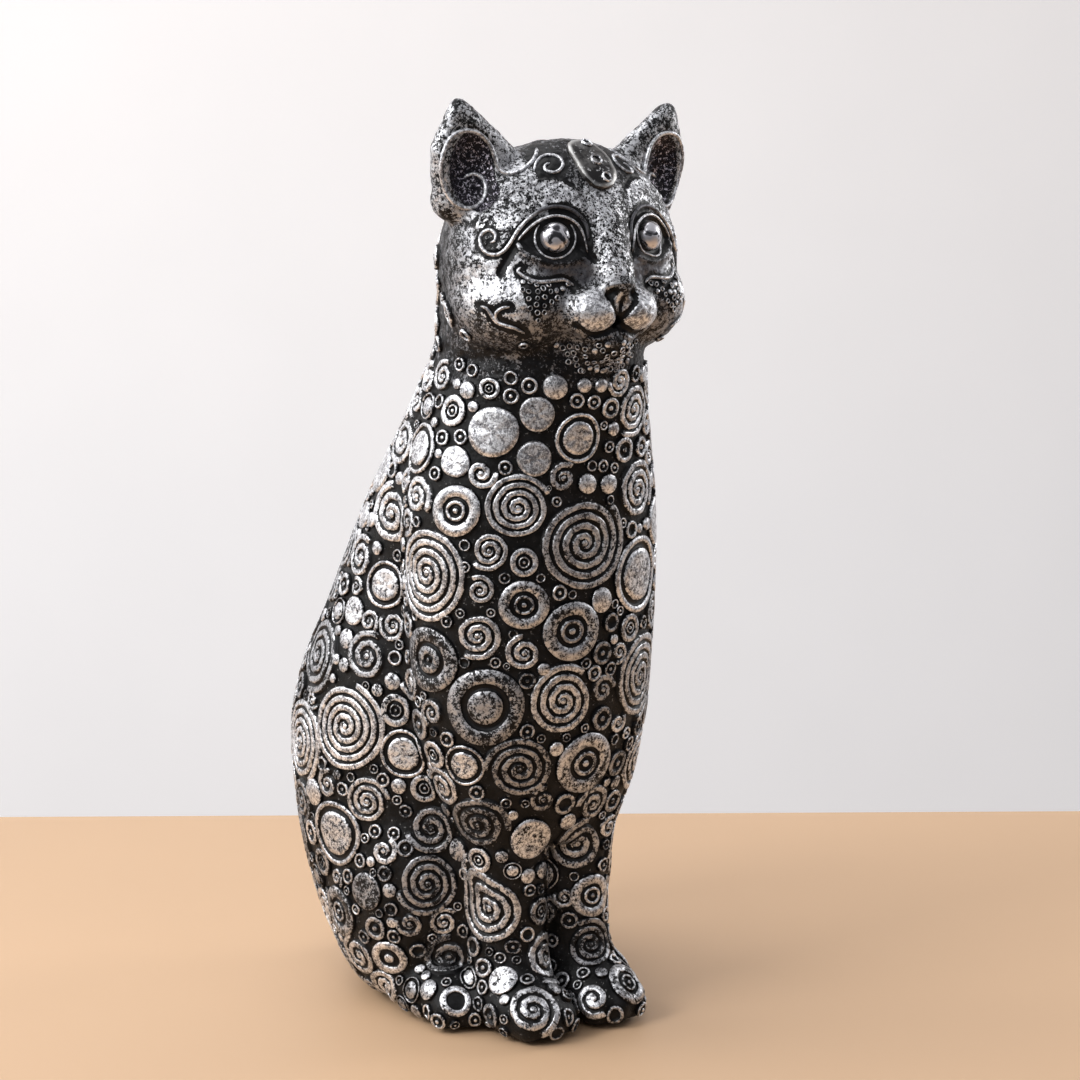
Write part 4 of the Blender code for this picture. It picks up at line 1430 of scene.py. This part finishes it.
TABLE_SIZE = (4.0, 0.6, 0.04)
TABLE_EDGE = 0.246  # how far behind the origin the table top ends
TABLE_COLOUR = (0.56, 0.37, 0.225)
WALL_SIZE = (6.0, 0.04, 3.4)
WALL_AWAY = 1.2
WALL_RISE = 0.3
WALL_COLOUR = (0.88, 0.855, 0.85)
LIT_HEIGHT = 0.17  # the lights aim at this height
LIGHTS = (  # name, place to the right, forward and up, side, power
    ("key", (-0.75, -0.55, 0.75), 0.45, 8),
    ("top", (-0.15, 0.1, 1.1), 0.6, 3.5),
    ("front", (-0.15, -0.8, 0.85), 0.5, 2.0),
    ("rim", (0.7, 0.3, 0.45), 0.25, 1.6),
)
WALL_LIGHT = ("wash", (-1.5, 0.35, 0.9), 1.4, 18)
WALL_LIGHT_AIM = (0.2, WALL_AWAY, 0)


def turned_to(obj, direction):
    obj.rotation_mode = "QUATERNION"
    obj.rotation_quaternion = direction.to_track_quat("-Z", "Y")


def add_light(name, place, side, power, aim):
    lamp = bpy.data.lights.new(name, "AREA")
    lamp.size = side
    lamp.energy = power
    obj = new_object(name, lamp)
    obj.location = place
    turned_to(obj, aim - place)


def stage_slab(name, centre, size, finish):
    bm = bmesh.new()
    bmesh.ops.create_cube(bm, size=1, matrix=Matrix.Diagonal((*size, 1)))
    bmesh.ops.bevel(bm, geom=bm.edges[:], offset=0.004, segments=3, affect="EDGES")
    mesh = bpy.data.meshes.new(name)
    bm.to_mesh(mesh)
    bm.free()
    mesh.materials.append(finish)
    obj = new_object(name, mesh)
    obj.rotation_euler = (0, 0, VIEW_AZIMUTH)
    obj.location = centre


def build_world():
    """Even light that is stronger from above."""
    world = bpy.data.worlds.new("studio")
    g = Graph(world)
    height = g.add("SeparateXYZ", {0: g.add("TexCoord").outputs["Generated"]}).outputs["Z"]
    strength = g.ramp(height, -0.1, 0.9, 0.15, 0.5, bend="LINEAR")
    bpy.context.scene.world = g.finish("Background", {"Color": (0.95, 0.95, 1.0, 1), "Strength": strength})


def build_camera(eye, target):
    lens = bpy.data.cameras.new("camera")
    lens.lens = LENS
    camera = new_object("camera", lens)
    camera.location = eye
    turned_to(camera, target - eye)
    bpy.context.scene.camera = camera


def build_stage():
    eye, right, forward = (Vector(v) for v in view_axes())

    def seen_at(across, away, up):
        return right * across + forward * away + Vector((0, 0, up))

    stage_slab("floor", seen_at(0, TABLE_EDGE - TABLE_SIZE[1] / 2, -TABLE_SIZE[2] / 2), TABLE_SIZE,
               plain_paint("pale_floor", TABLE_COLOUR, 0.6))
    # The wall glows faintly: painted light that evens out its brightness
    stage_slab("wall", seen_at(0, WALL_AWAY, WALL_RISE), WALL_SIZE,
               plain_paint("pale_wall", WALL_COLOUR, 0.9, glow=0.28))
    for name, place, side, power in LIGHTS:
        add_light(name, seen_at(*place), side, power, seen_at(0, 0, LIT_HEIGHT))
    name, place, side, power = WALL_LIGHT
    add_light(name, seen_at(*place), side, power, seen_at(*WALL_LIGHT_AIM))
    build_world()
    build_camera(eye * MM, seen_at(AIM_RIGHT * MM, 0, AIM_HEIGHT * MM))
    bpy.context.scene.view_settings.view_transform = "Standard"


def main():
    rng = np.random.default_rng(SEED)
    silver = brushed_silver("silver_over_black", gloss=(0.28, 0.5))
    whole = body_masses()
    skin = Skin.of(whole)
    discs = strewn(skin, placed_motifs(skin, rng), rng, body_limits, SIZES, BODY_TRIES)
    build_relief(skin, silver, discs, rng, region)
    trim(whole, NECK_Z, keep_above=False)
    trim(whole, FLOOR_Z, keep_above=True)
    body = Skin.of(whole)
    build_piece("body_skin", body.points, body.triangles, black_ground(), "cast_shell", "body_shell")
    build_head(brushed_silver("brushed_head", gloss=(0.36, 0.56)), glossy_dome(), rng)
    build_stopper()
    build_pads(rng)
    build_stage()


main()
